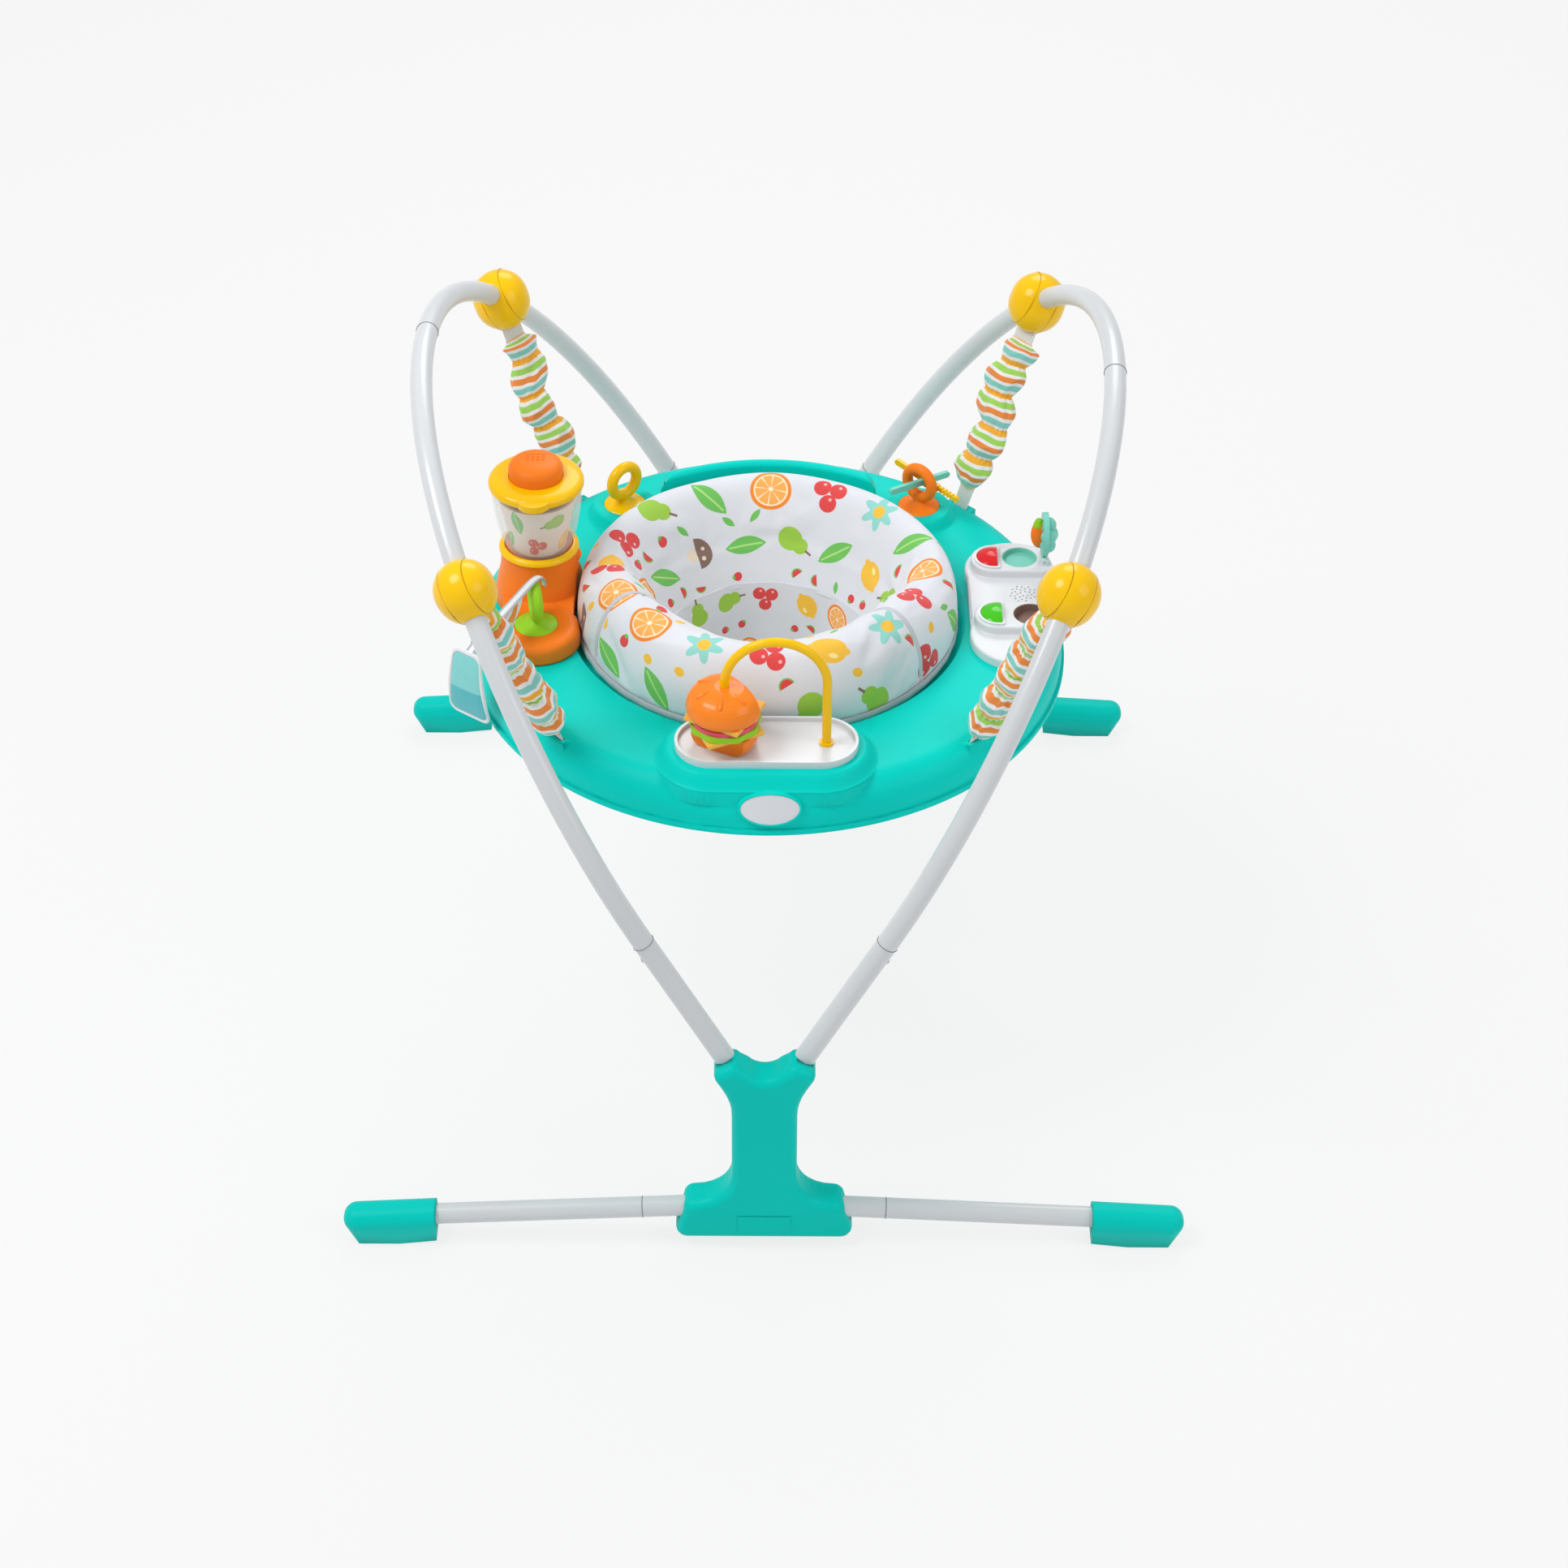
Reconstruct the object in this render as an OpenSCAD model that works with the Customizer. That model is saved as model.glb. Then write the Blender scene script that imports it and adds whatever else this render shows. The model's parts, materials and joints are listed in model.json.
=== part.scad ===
// Stationary baby jumper: a tube frame, a tray hung from it on four elastic straps,
// a fabric seat that turns in the tray, and the toys that stand on the tray.
// Origin on the floor at the centre of the frame. X runs along the base tubes,
// Y from the front hub to the rear hub, Z up.

/* [Tube frame] */
// Outside diameter of every tube
tube_d = 22; // [18:0.5:28]
// Wall of every tube
tube_wall = 1.5; // [1:0.1:2.5]
// Distance of each base tube from the centre
base_y = 438; // [380:1:500]
// Height of a base tube's axis at the middle of its hub
base_z = 50; // [44:0.5:60]
// Fall of the base tubes towards the feet, in degrees
base_droop = 3.1; // [0:0.1:4]
// Half length of the stub tube in a hub
stub_half = 127; // [110:1:160]
// Outward lean of each hoop, in degrees
hoop_tilt = 28.35; // [20:0.05:34]
// How far past the centre each hoop plane meets the floor
hoop_inset = 93.5; // [70:0.5:120]
// Splay of the straight hoop legs, in degrees
leg_splay = 2; // [0:0.5:5]
// Distance of the lower hoop joints from the centre
joint_y = 423; // [380:1:480]
// Place of the lower hoop joints, measured up the hoop plane
joint_w = 450; // [400:1:500]
// Place of the lower tubes' bottom ends, measured up the hoop plane
leg_foot_w = 233; // [225:1:245]
// Bend radius of the hoop shoulders
shoulder_r = 550; // [450:5:700]
// Turn of the shoulders from upright, in degrees
shoulder_turn = 44; // [38:0.5:50]
// Turn from the crown of a hoop to its crown joint, in degrees
crown_joint_turn = 5.4; // [3:0.1:12]
// Length of the spigot at each tube joint
spigot_len = 38; // [25:1:50]

/* [Hubs] */
// Distance of each hub's parting plane from the centre
hub_mid_y = 436; // [378:1:498]
// Depth of one half shell
hub_depth = 19; // [18:0.5:28]
// Rounding of a half shell's outer edges
hub_edge_r = 9; // [3:0.5:10]
// Gap under a hub
hub_gap = 12; // [8:1:20]
// Half width of the base block at its foot
hub_foot_half = 92; // [80:1:110]
// Half width of the base block at its shoulder
hub_shoulder_half = 84; // [75:1:100]
// Height of the base block's top
hub_block_top = 63; // [62:1:90]
// Radius from the base block into the neck
hub_fillet_r = 38; // [20:1:45]
// Half width of the neck
neck_half = 33.5; // [30:0.5:45]
// Half width of the arms that hold the hoop legs
arm_half = 15; // [14:0.5:26]
// Height of the arms' ends on the hoop legs' axis
arm_end_z = 250; // [245:1:275]
// Height of the saddle between the arms
saddle_z = 236; // [230:1:245]

/* [Feet] */
// Distance of the foot tips from the centre
foot_tip_x = 440; // [400:1:500]
// Length of a foot
foot_len = 97; // [80:1:120]
// Radius of a foot round its tube
foot_r = 14.5; // [13:0.5:20]
// Depth of a leg tube in its foot
foot_socket = 56; // [40:1:70]

/* [Straps] */
// Radius of a strap ball
ball_r = 30.5; // [26:0.5:38]
// Extra length of a strap ball along its strap
ball_stretch = 5; // [0:0.5:10]
// Width of the middle band of a strap ball
band_w = 27; // [25:0.5:32]
// Place of the strap balls on the shoulder bend, in degrees
ball_turn = 43.4; // [40:0.1:44]
// Distance of each strap lug from the tray's rim
lug_inset = 19; // [12:1:30]
// Bearing of each strap lug from the side axis, in degrees
lug_turn = 44.6; // [40:0.1:50]
// Width of the webbing
strap_w = 20; // [15:0.5:25]
// Thickness of the webbing
strap_t = 4; // [2:0.5:5]
// Width of a gathered sleeve
sleeve_w = 35; // [34:0.5:42]
// Thickness of a gathered sleeve
sleeve_t = 27; // [22:0.5:34]
// Distance between the shirred rows of a sleeve
shirr_pitch = 38; // [25:1:60]

/* [Tray] */
// Radius of the tray at its lower lip
tray_r = 317; // [290:1:340]
// Height of the tray's top
tray_top = 492; // [440:1:540]
// Height of the tray's skirt
skirt_h = 46; // [35:1:60]
// Wall of the tray
tray_wall = 4; // [3:0.5:6]
// Width of the deck from the tray's rim to the recess round the seat
deck_w = 106; // [103:1:110]
// Width of the ledge in the recess that carries the seat
ledge_w = 25; // [21:1:40]
// Depth of the recess round the seat
recess_h = 14; // [8:1:18]
// Height of the raised rear rim above the tray
rim_h = 50; // [30:1:60]
// Half width of the raised rear rim as a share of the tray's radius
rim_share = 0.372; // [0.3:0.004:0.4]

/* [Seat] */
// Room round the padded seat ring in its recess
seat_room = 10; // [6:1:15]
// Height of the padded seat ring
cushion_h = 84; // [65:1:95]
// Width of the padded seat ring from its inner to its outer edge
roll_w = 83; // [71:1:95]
// Depth of the fabric bucket below the padded ring
bucket_h = 160; // [120:1:200]
// Thickness of the fabric bucket
bucket_t = 3; // [2:0.5:5]
// Radius of a leg hole as a share of the padded ring's inner radius
leg_hole_size = 0.424; // [0.34:0.01:0.47]

/* [Loops] */
// Distance of the orange loop from the tray's rim
loop_inset = 67; // [60:1:72]
// Bearing of the orange loop from the side axis, in degrees
loop_turn = 48.4; // [45:0.1:52]
// How much nearer the yellow loop is to the middle plane than the orange one
yellow_shift = 8; // [0:1:12]
// Radius of a loop's foot disc
loop_disc_r = 23; // [21:0.5:26]
// Radius of a loop's ring at the middle of its bar
loop_ring_r = 17; // [15:0.5:20]
// Radius of a loop's bar
loop_bar_r = 6; // [4:0.5:7]
// Length of the teal stick in the orange loop
stick_len = 76; // [60:1:90]
// Length of the yellow stick on the teal stick
yellow_stick_len = 90; // [70:1:100]
// Width of the sticks
stick_w = 7; // [5:0.5:8]
// Thickness of the sticks
stick_t = 4.5; // [3:0.5:5]

/* [Blender toy] */
// Distance of the blender toy's axis from the tray's rim
blender_inset = 75; // [71:1:82]
// Distance of the blender toy's axis behind the side axis
blender_y = 30; // [20:1:40]
// Radius of the base under the jug
stand_r = 46; // [40:1:48]
// Height of the base under the jug
stand_h = 65; // [56:1:70]
// Radius of the low front lobe
lobe_r = 46; // [40:1:48]
// Height of the low front lobe
lobe_h = 22; // [16:1:28]
// Distance of the low front lobe in front of the jug
lobe_gap = 82; // [70:1:90]
// Largest radius of the jug
jug_r = 48; // [42:0.5:54]
// Height of the jug
jug_h = 78; // [60:1:85]
// Wall of the jug
jug_wall = 2; // [1.5:0.1:3]
// Radius of the lid
lid_r = 50; // [44:0.5:56]
// Height of the lid
lid_h = 11; // [9:0.5:16]
// Radius of the push button
push_r = 28.5; // [24:0.5:32]
// Height of the push button above the lid
push_h = 19; // [14:1:26]
// Travel of the push button
push_travel = 8; // [4:0.5:10]

/* [Burger toy] */
// Distance of the plate's middle from the tray's rim
plate_inset = 69; // [63:1:73]
// Length of the plate
plate_l = 185; // [160:1:200]
// Width of the plate
plate_w = 76; // [74:1:84]
// Height of the plate
plate_h = 8; // [6:0.5:12]
// Height of the boss under the plate
boss_h = 15; // [8:0.5:20]
// Radius of the bar
bar_r = 4.75; // [4:0.25:6]
// Radius of the bar's arch
bar_bend_r = 51; // [45:0.5:56]
// Height of the bar's straight legs
bar_leg_h = 74; // [70:1:85]
// Radius of the top bun
bun_r = 39; // [36:0.5:40]
// Height of the top bun
bun_h = 30; // [25:1:31]
// Radius of the bottom bun
heel_r = 34; // [30:0.5:34]
// Height of the bottom bun
heel_h = 21; // [14:0.5:22]
// Thickness of a cheese slice
cheese_t = 4; // [3:0.5:5]
// Side of a cheese slice
cheese_w = 60; // [50:1:61]
// Thickness of the lettuce
lettuce_t = 6.5; // [4:0.5:8]
// Thickness of the ham
ham_t = 5; // [3:0.5:6]

/* [Sound toy] */
// Distance of the housing's rear lobe from the tray's rim
sound_inset = 55; // [51:1:59]
// Distance of the housing's rear lobe behind the side axis
sound_y = 70; // [64:1:76]
// Radius of the housing's rear lobe
sound_r = 50; // [46:1:54]
// Distance of the housing's front lobe in front of the rear lobe
sound_gap = 118; // [110:1:124]
// Height of the housing's skirt above the tray
sound_skirt_h = 10; // [8:0.5:14]
// Height of the housing's deck above the skirt
sound_deck_h = 10; // [8:0.5:14]
// Wall of the housing
sound_wall = 2.5; // [2:0.1:3.5]
// Radius of the round side of a sound button
key_r = 18; // [15:0.5:19]
// Height of a sound button above the deck
key_h = 8; // [5:0.5:10]
// Travel of a sound button
key_travel = 3; // [2:0.5:4]
// Radius of a flap
flap_r = 23.5; // [20:0.5:24]
// Thickness of a flap
flap_t = 6; // [4:0.5:7]
// Lean of the open brown flap, in degrees
brown_lean = 60; // [30:1:75]

/* [Fits] */
// Play between pieces that are fixed together
fit = 0.1; // [0.05:0.01:0.2]
// Play of a turning shaft in its bore
run_fit = 0.08; // [0.04:0.01:0.1]
// Gap between pieces that move past each other
gap = 0.4; // [0.3:0.05:0.6]

/* [Hidden] */
$fn = 96;
over = 2;
tube_r = tube_d / 2;
bore_r = tube_r - tube_wall;
spigot_r = bore_r - fit;
spigot_bore_r = spigot_r - tube_wall;
plug_r = (tube_r + bore_r) / 2;
core_r = (spigot_r + spigot_bore_r) / 2;
plug_len = tube_wall * 4;
seam = tube_wall / 100;
snap_r = tube_d * 0.16;
snap_proud = tube_wall;
foot_step = 5;
far = foot_tip_x * 2;

// Places on the tray, measured in from its rim.
recess_r = tray_r - deck_w;
opening_r = recess_r - ledge_w;
cushion_r = recess_r - seat_room;
cushion_in = cushion_r - roll_w;
leg_hole_r = cushion_in * leg_hole_size;
lug_r = tray_r - lug_inset;
loop_x = (tray_r - loop_inset) * cos(loop_turn);
loop_y = (tray_r - loop_inset) * sin(loop_turn);
yellow_loop_x = loop_x - yellow_shift;
blender_x = tray_r - blender_inset;
plate_y = tray_r - plate_inset;
sound_x = tray_r - sound_inset;

// Hoop path in the hoop plane, from the front: the shoulder's centre, then the crown's.
leg_len = (joint_w - leg_foot_w) / cos(leg_splay);
shoulder_s = shoulder_r * cos(leg_splay) - joint_y;
shoulder_w = joint_w - shoulder_r * sin(leg_splay);
crown_r = (shoulder_r * cos(shoulder_turn) - shoulder_s) / cos(shoulder_turn);
crown_w = shoulder_w + (shoulder_r - crown_r) * sin(shoulder_turn);
spigot_turn = spigot_len / crown_r * 180 / PI;
plug_turn = plug_len / crown_r * 180 / PI;
seam_turn = seam / crown_r * 180 / PI;

// Hub outline values.
hub_foot_r = hub_gap;
hub_shoulder_r = hub_gap;
flare_r = arm_half * 5.2;
tip_r = arm_half * 0.62;
saddle_r = arm_half * 1.3;
saddle_turn = 52;
arm_end_x = arm_end_z * tan(hoop_tilt) - hoop_inset;
arm_out = [cos(hoop_tilt), -sin(hoop_tilt)];
arm_up = [sin(hoop_tilt), cos(hoop_tilt)];
arm_tip = [arm_end_x, arm_end_z];
flare_z = arm_tip[1] + arm_half * arm_out[1] - flare_r * sin(hoop_tilt)
    + (neck_half + flare_r * (1 - cos(hoop_tilt)) - arm_tip[0] - arm_half * arm_out[0]) / tan(hoop_tilt);
hub_pad_w = hub_foot_half * 0.6;
hub_pad_h = hub_block_top * 0.36;
hub_pad_t = hub_depth * 0.04;
screw_r = 2;
screw_head_r = 4;
screw_head_h = 3;
screw_len = hub_depth * 1.5;
screw_places = [
    [hub_shoulder_half * 0.72, hub_gap * 2.35],
    [-hub_shoulder_half * 0.72, hub_gap * 2.35],
    [0, hub_block_top + hub_fillet_r * 0.8],
    [0, saddle_z - arm_half]
];

// Strap ball and strap places in the rear right quarter.
ball_w = shoulder_w + shoulder_r * sin(ball_turn);
ball_at = [
    ball_w * sin(hoop_tilt) - hoop_inset,
    shoulder_r * cos(ball_turn) - shoulder_s,
    ball_w * cos(hoop_tilt)
];
lug_h = 6;
lug_at = [lug_r * cos(lug_turn), lug_r * sin(lug_turn), tray_top - lug_h];
strap_line = ball_at - lug_at;
strap_reach = norm(strap_line);
strap_lean = acos(strap_line[2] / strap_reach);
strap_turn = atan2(strap_line[1], strap_line[0]);
ball_half = ball_r + ball_stretch / 2;
pocket_h = ball_r * 0.2;
strap_len = strap_reach - ball_half + pocket_h - gap;
sleeve_from = lug_h * 3.2;
sleeve_to = strap_reach - ball_half * 1.8;
sleeve_rings = 26;
sleeve_sides = 12;
sleeve_bore_share = 1.25;

// Tray profile values.
flat_r = tray_r * 0.9;
lip_w = tray_wall * 0.75;
lip_h = tray_wall * 1.5;
skirt_r = tray_r - lip_w;
skirt_low = tray_top - skirt_h;
round_h = skirt_h * 0.7;
ledge_z = tray_top - recess_h;
recess_slope = recess_h * 0.4;
rim_half = tray_r * rim_share;
rim_in = recess_r + tray_wall / 2;
rim_t = tray_wall * 2.75;
rim_corner_r = rim_h * 0.36;
lug_w = strap_w * 1.7;
lug_t = strap_t * 4;
plate_end = (plate_l - plate_w) / 2;
boss_flat_r = plate_w / 2 + tray_wall * 1.5;
boss_slope = boss_h;
plate_z = tray_top + boss_h;
loop_boss_h = 13;
loop_boss_r = loop_disc_r * 1.4357;
loop_boss_slope = loop_boss_h * 0.7;
loop_sink = 3;

// Seat values.
ring_t = tray_wall;
ring_z = ledge_z + gap;
ring_in = opening_r * 0.925;
ring_out = cushion_r * 0.985;
ring_lip = ring_t;
cushion_z = ring_z + ring_t + gap * 0.75;
cushion_sides = 48;
// Shares of the ring's width (inner edge 0, outer edge 1) and of its height, once round the section.
cushion_shares = [
    [0.93, 0], [1, 0.1], [1, 0.26], [0.98, 0.44], [0.92, 0.62], [0.83, 0.78], [0.71, 0.91],
    [0.57, 0.99], [0.43, 1], [0.3, 0.95], [0.18, 0.85], [0.09, 0.71], [0.03, 0.54], [0, 0.37],
    [0.01, 0.25], [0.06, 0.18], [0.2, 0.12], [0.45, 0.06], [0.7, 0.02]
];
cushion_wave_share = 0.02;
seat_clear = gap * 6;
bucket_z = cushion_z + cushion_h * 0.18 - gap * 2.5;
bucket_sides = 40;
// Shares of the ring's inner radius and of the bucket's depth, from the rim down.
bucket_shares = [
    [1.03, 0], [0.96, 0.2], [0.9, 0.42], [0.84, 0.62], [0.75, 0.8], [0.6, 0.93], [0.36, 1]
];
bucket_fold_share = 0.03;
bucket_folds = 8;
leg_hole_turn = 38;
leg_hole_share = 0.58;

// Loop values.
loop_neck_r = loop_bar_r * 1.1;
loop_flare_h = loop_disc_r * 0.5652;
loop_ring_z = loop_flare_h + loop_ring_r + loop_bar_r * 0.4;
// Shares of the foot disc's radius and of its flare's height.
loop_shares = [[0.985, 0], [0.985, 0.22], [0.86, 0.34], [0.62, 0.46], [0.42, 0.64], [0.3, 0.84], [0.27, 1]];
loop_seat_z = tray_top + loop_boss_h - loop_sink;
orange_ring_at = [loop_x, loop_y, loop_seat_z + loop_ring_z];
teal_turn = 30;
yellow_rise = -8;
yellow_back = loop_bar_r + stick_t / 2 + gap * 1.5;
eye_r = stick_w * 1.2;
eye_bore_r = stick_w * 0.78;
tooth_r = stick_w * 0.22;
teeth = 5;
lobe_at = [-blender_x, blender_y - lobe_gap, tray_top];
green_turn = atan2(lobe_at[1], lobe_at[0]);
green_z = tray_top + lobe_h - loop_sink;
green_top = [lobe_at[0], lobe_at[1], green_z + loop_ring_z + loop_ring_r + loop_bar_r];
tag_turn = 234;
tag_w = 50;
tag_h = 80;
tag_t = 5;
tag_corner_r = 9;
ribbon_w = 15;
ribbon_neck_share = 0.4;
ribbon_t = 1.6;
// Route of the ribbon from the loop: distance outwards and height from the loop's top.
ribbon_route = [
    [-14.5, -12], [-14, -5], [-9.5, 1.6], [0, 3.4], [14, 0.6], [45, -8], [82, -18], [110, -30]
];

// Blender toy values.
// Shares of the stand's radius and height.
stand_shares = [[1.04, 0], [1.04, 0.12], [1.02, 0.3], [0.97, 0.46], [0.91, 0.62], [0.88, 0.8], [0.87, 1]];
// Shares of the front lobe's radius and height.
lobe_shares = [[1, 0], [1, 0.5], [0.985, 0.72], [0.94, 0.88], [0.86, 0.97], [0.76, 1]];
bridge_half = lobe_r * 0.82;
bridge_h = lobe_h * 0.94;
blender_at = [-blender_x, blender_y, tray_top];
stand_wall = 3;
side_knob_r = 8;
collar_bar_r = stand_r * 0.12;
collar_ring_r = stand_r * 0.8;
jug_z = stand_h;
// Shares of the jug's radius and height.
jug_shares = [[0.68, 0], [0.76, 0.12], [0.84, 0.28], [0.91, 0.48], [0.96, 0.7], [0.99, 0.9], [1, 1]];
lid_z = jug_z + jug_h;
// Shares of the lid's radius and height.
lid_shares = [[0.985, 0], [1, 0.14], [1, 0.4], [0.97, 0.64], [0.9, 0.84], [0.78, 0.97], [0.64, 1]];
spout_r = lid_r * 0.36;
spout_at = lid_r * 0.78;
spout_h = lid_h * 0.66;
push_sink = push_travel * 1.6;
// Shares of the push button's radius and height above the lid.
push_shares = [[1, 0], [1, 0.42], [0.985, 0.56], [0.93, 0.72], [0.8, 0.86], [0.58, 0.95], [0.3, 0.99]];
axle_r = jug_r * 0.07;
axle_h = jug_h * 0.3;
drum_z = jug_z + jug_wall * 2;
drum_h = lid_z + lid_h - push_sink - push_travel - gap * 4 - drum_z;
drum_foot_r = jug_r * 0.6;
drum_top_r = jug_r * 0.87;
drum_wall = jug_wall;

// Burger toy values: the heights of the layers on the bar's left leg.
plate_rim = 3;
plate_floor = 3;
bar_z = plate_z + plate_floor;
heel_z = bar_z + gap;
low_cheese_z = heel_z + heel_h;
lettuce_z = low_cheese_z + cheese_t + gap;
ham_z = lettuce_z + lettuce_t;
high_cheese_z = ham_z + ham_t + gap;
bun_z = high_cheese_z + cheese_t;
bar_foot_r = bar_r * 1.5;
bar_foot_h = bar_r * 0.6;
bar_mid_x = bar_bend_r * 0.18;
burger_x = bar_mid_x - bar_bend_r;
// Shares of the top bun's radius and height.
bun_shares = [
    [0.95, 0], [1, 0.12], [1, 0.26], [0.96, 0.46], [0.87, 0.66], [0.72, 0.82], [0.5, 0.94], [0.26, 0.99]
];
// Shares of the bottom bun's radius and height.
heel_shares = [[0.7, 0], [0.86, 0.1], [0.95, 0.3], [1, 0.6], [1, 1]];
bun_cut_turn = 40;
bun_cut_share = 0.44;
heel_cut_turn = 244;
heel_cut_share = 0.5;
lettuce_r = heel_r * 1.06;
lettuce_waves = 9;
lettuce_wave_share = 0.035;
ham_r = heel_r * 1.01;
high_cheese_turn = 62;
low_cheese_turn = 24;

// Sound toy values.
sound_front_r = sound_r * 1.06;
sound_front_at = [sound_x * 1.015, sound_y - sound_gap];
sound_waist = sound_x - sound_r * 0.96;
sound_edge_r = tray_r * 0.985;
deck_z = tray_top + sound_skirt_h + sound_deck_h;
deck_r = sound_r * 0.49;
deck_end_x = sound_x + sound_r * 0.56;
rear_deck_y = sound_y + sound_r * 0.12;
front_deck_y = sound_y - sound_r * 1.94;
key_x = sound_x - sound_r * 0.385;
key_cut = key_r * 0.2;
red_y = rear_deck_y;
green_y = front_deck_y;
bezel_w = key_r * 0.17;
bezel_h = key_h * 0.25;
key_sink = key_travel * 2.2;
key_dome_share = 1.7;
mint_hinge = [sound_x + sound_r * 0.7, sound_y + sound_r * 0.14, deck_z + flap_t * 0.75];
brown_hinge = [sound_x + sound_r * 0.84, sound_y - sound_r * 1.94, deck_z + flap_t * 0.75];
flap_reach = flap_r + flap_t * 0.45;
hinge_r = flap_t / 2;
hinge_half = flap_r * 0.5;
hinge_pin_r = hinge_r * 0.5;
cheek_w = flap_t * 0.7;
well_r = flap_r * 0.8;
well_h = sound_deck_h * 0.95;
bump_r = flap_r * 0.36;
petals = 5;
drop_r = flap_r * 0.3;
drop_half = flap_r * 0.36;
grille_at = [sound_x + sound_r * 0.2, sound_y - sound_r * 0.92];
grille_holes = 29;
grille_hole_r = sound_r * 0.022;
grille_pitch = sound_r * 0.055;
board_w = sound_r * 0.63;
board_l = sound_gap * 0.77;
board_t = 1.6;
speaker_r = sound_r * 0.34;
speaker_h = sound_skirt_h * 0.6;

// Points along a circular arc.
function arc(c, r, from, to, n) =
    [for (i = [0:n]) c + r * [cos(from + (to - from) * i / n), sin(from + (to - from) * i / n)]];

// A smooth open curve through the given points, with n steps between neighbours.
function curve(p, n) = concat(
    [for (i = [0:len(p) - 2], j = [0:n - 1])
        let (
            t = j / n,
            a = p[max(i - 1, 0)],
            b = p[i],
            c = p[i + 1],
            d = p[min(i + 2, len(p) - 1)]
        )
        (b * 2 + (c - a) * t + (a * 2 - b * 5 + c * 4 - d) * t * t
            + (b * 3 - a - c * 3 + d) * t * t * t) / 2],
    [p[len(p) - 1]]
);

// Shares turned into a radius and a height, smoothed.
function turned(shares, r, h) = curve([for (s = shares) [s[0] * r, s[1] * h]], 2);

// The closed outline moved inwards by d.
function inset(p, d) = [for (i = [0:len(p) - 1])
    let (
        t = p[(i + 1) % len(p)] - p[(i + len(p) - 1) % len(p)]
    )
    p[i] + d * [-t[1], t[0]] / norm(t)];

// A solid through rings of points, counterclockwise from above, closed by two end faces.
module loft(rings) {
    n = len(rings[0]);
    last = len(rings) - 1;
    polyhedron(
        points = [for (ring = rings, p = ring) p],
        faces = concat(
            [[for (i = [0:n - 1]) i]],
            [for (k = [0:last - 1], i = [0:n - 1])
                [k * n + i, (k + 1) * n + i, (k + 1) * n + (i + 1) % n]],
            [for (k = [0:last - 1], i = [0:n - 1])
                [k * n + i, (k + 1) * n + (i + 1) % n, k * n + (i + 1) % n]],
            [[for (i = [n - 1:-1:0]) last * n + i]]
        )
    );
}

// A solid from closed sections set round an axis, each counterclockwise with the axis on its left.
module closed_ring(sections) {
    n = len(sections[0]);
    m = len(sections);
    polyhedron(
        points = [for (s = sections, p = s) p],
        faces = concat(
            [for (i = [0:m - 1], j = [0:n - 1])
                [i * n + j, i * n + (j + 1) % n, (i + 1) % m * n + (j + 1) % n]],
            [for (i = [0:m - 1], j = [0:n - 1])
                [i * n + j, (i + 1) % m * n + (j + 1) % n, (i + 1) % m * n + j]]
        )
    );
}

// A body turned from a half section that starts and ends off the axis.
module turned_solid(points) {
    rotate_extrude()
        polygon(concat([[0, points[0][1]]], points, [[0, points[len(points) - 1][1]]]));
}

// Places: side is 1 on the right and -1 on the left, end is 1 at the rear and -1 at the front.

// Frame of a hoop plane: X across it, Y along the object, Z up the hoop.
module hoop_plane(side) {
    translate([-side * hoop_inset, 0, 0])
        rotate([0, side * hoop_tilt, 0])
            children();
}

// Frame of a straight hoop leg, with its joint at the origin and Z up the leg.
module hoop_leg(side, end) {
    hoop_plane(side)
        translate([0, end * joint_y, joint_w])
            rotate([end * leg_splay, 0, 0])
                children();
}

// Frame of a base tube, from the middle of its hub outwards along Z.
module base_line(side, end) {
    translate([0, end * base_y, base_z])
        rotate([0, side * (90 + base_droop), 0])
            children();
}

// Frame of a strap in the given quarter: from its lug along Z to its ball, with Y across the webbing.
module strap_frame(side, end) {
    mirror([side < 0 ? 1 : 0, 0, 0])
        mirror([0, end < 0 ? 1 : 0, 0])
            translate(lug_at)
                rotate([0, strap_lean, strap_turn])
                    children();
}

module quarters() {
    for ($side = [-1, 1], $end = [-1, 1])
        children();
}

// Tubes.

module pipe(r_out, r_in, from, to) {
    translate([0, 0, from])
        difference() {
            cylinder(r = r_out, h = to - from);
            translate([0, 0, -over])
                cylinder(r = r_in, h = to - from + 2 * over);
        }
}

// Part of a ring bar round X, measured from Y towards Z.
module bend(centre, r, from, sweep, r_out, r_in) {
    translate([0, centre[0], centre[1]])
        rotate([90, 0, 90])
            rotate([0, 0, from])
                rotate_extrude(angle = sweep)
                    translate([r, 0])
                        difference() {
                            circle(r = r_out);
                            if (r_in > 0)
                                circle(r = r_in);
                        }
}

// The hoop's bends from the front joint to the given turn past the crown, a slit apart.
module hoop_bends(past, r_out, r_in, slit) {
    bend([shoulder_s, shoulder_w], shoulder_r, 180 - shoulder_turn, shoulder_turn - leg_splay, r_out, r_in);
    bend([0, crown_w], crown_r, 90 - past, 90 - shoulder_turn + past - slit, r_out, r_in);
}

// A short straight length in the wall, where the shoulder bend runs into the crown bend.
module bend_core() {
    turn = 180 - shoulder_turn;
    translate([0, crown_r * cos(turn), crown_w + crown_r * sin(turn)])
        rotate([turn, 0, 0])
            pipe(tube_r - tube_wall / 4, bore_r + tube_wall / 4, -plug_len / 2, plug_len / 2);
}

// The spigot of a tube that starts at the origin and runs along Z.
module spigot() {
    pipe(spigot_r, spigot_bore_r, -spigot_len, plug_len);
    pipe(plug_r, core_r, plug_len / 4, plug_len * 3 / 4);
}

// The hole that a snap button comes out of, or the button's own pin.
module snap_pin(side, r, top) {
    rotate([0, side * 90, 0])
        translate([0, 0, spigot_bore_r * 0.7])
            cylinder(r = r, h = top - spigot_bore_r * 0.7);
}

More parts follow.
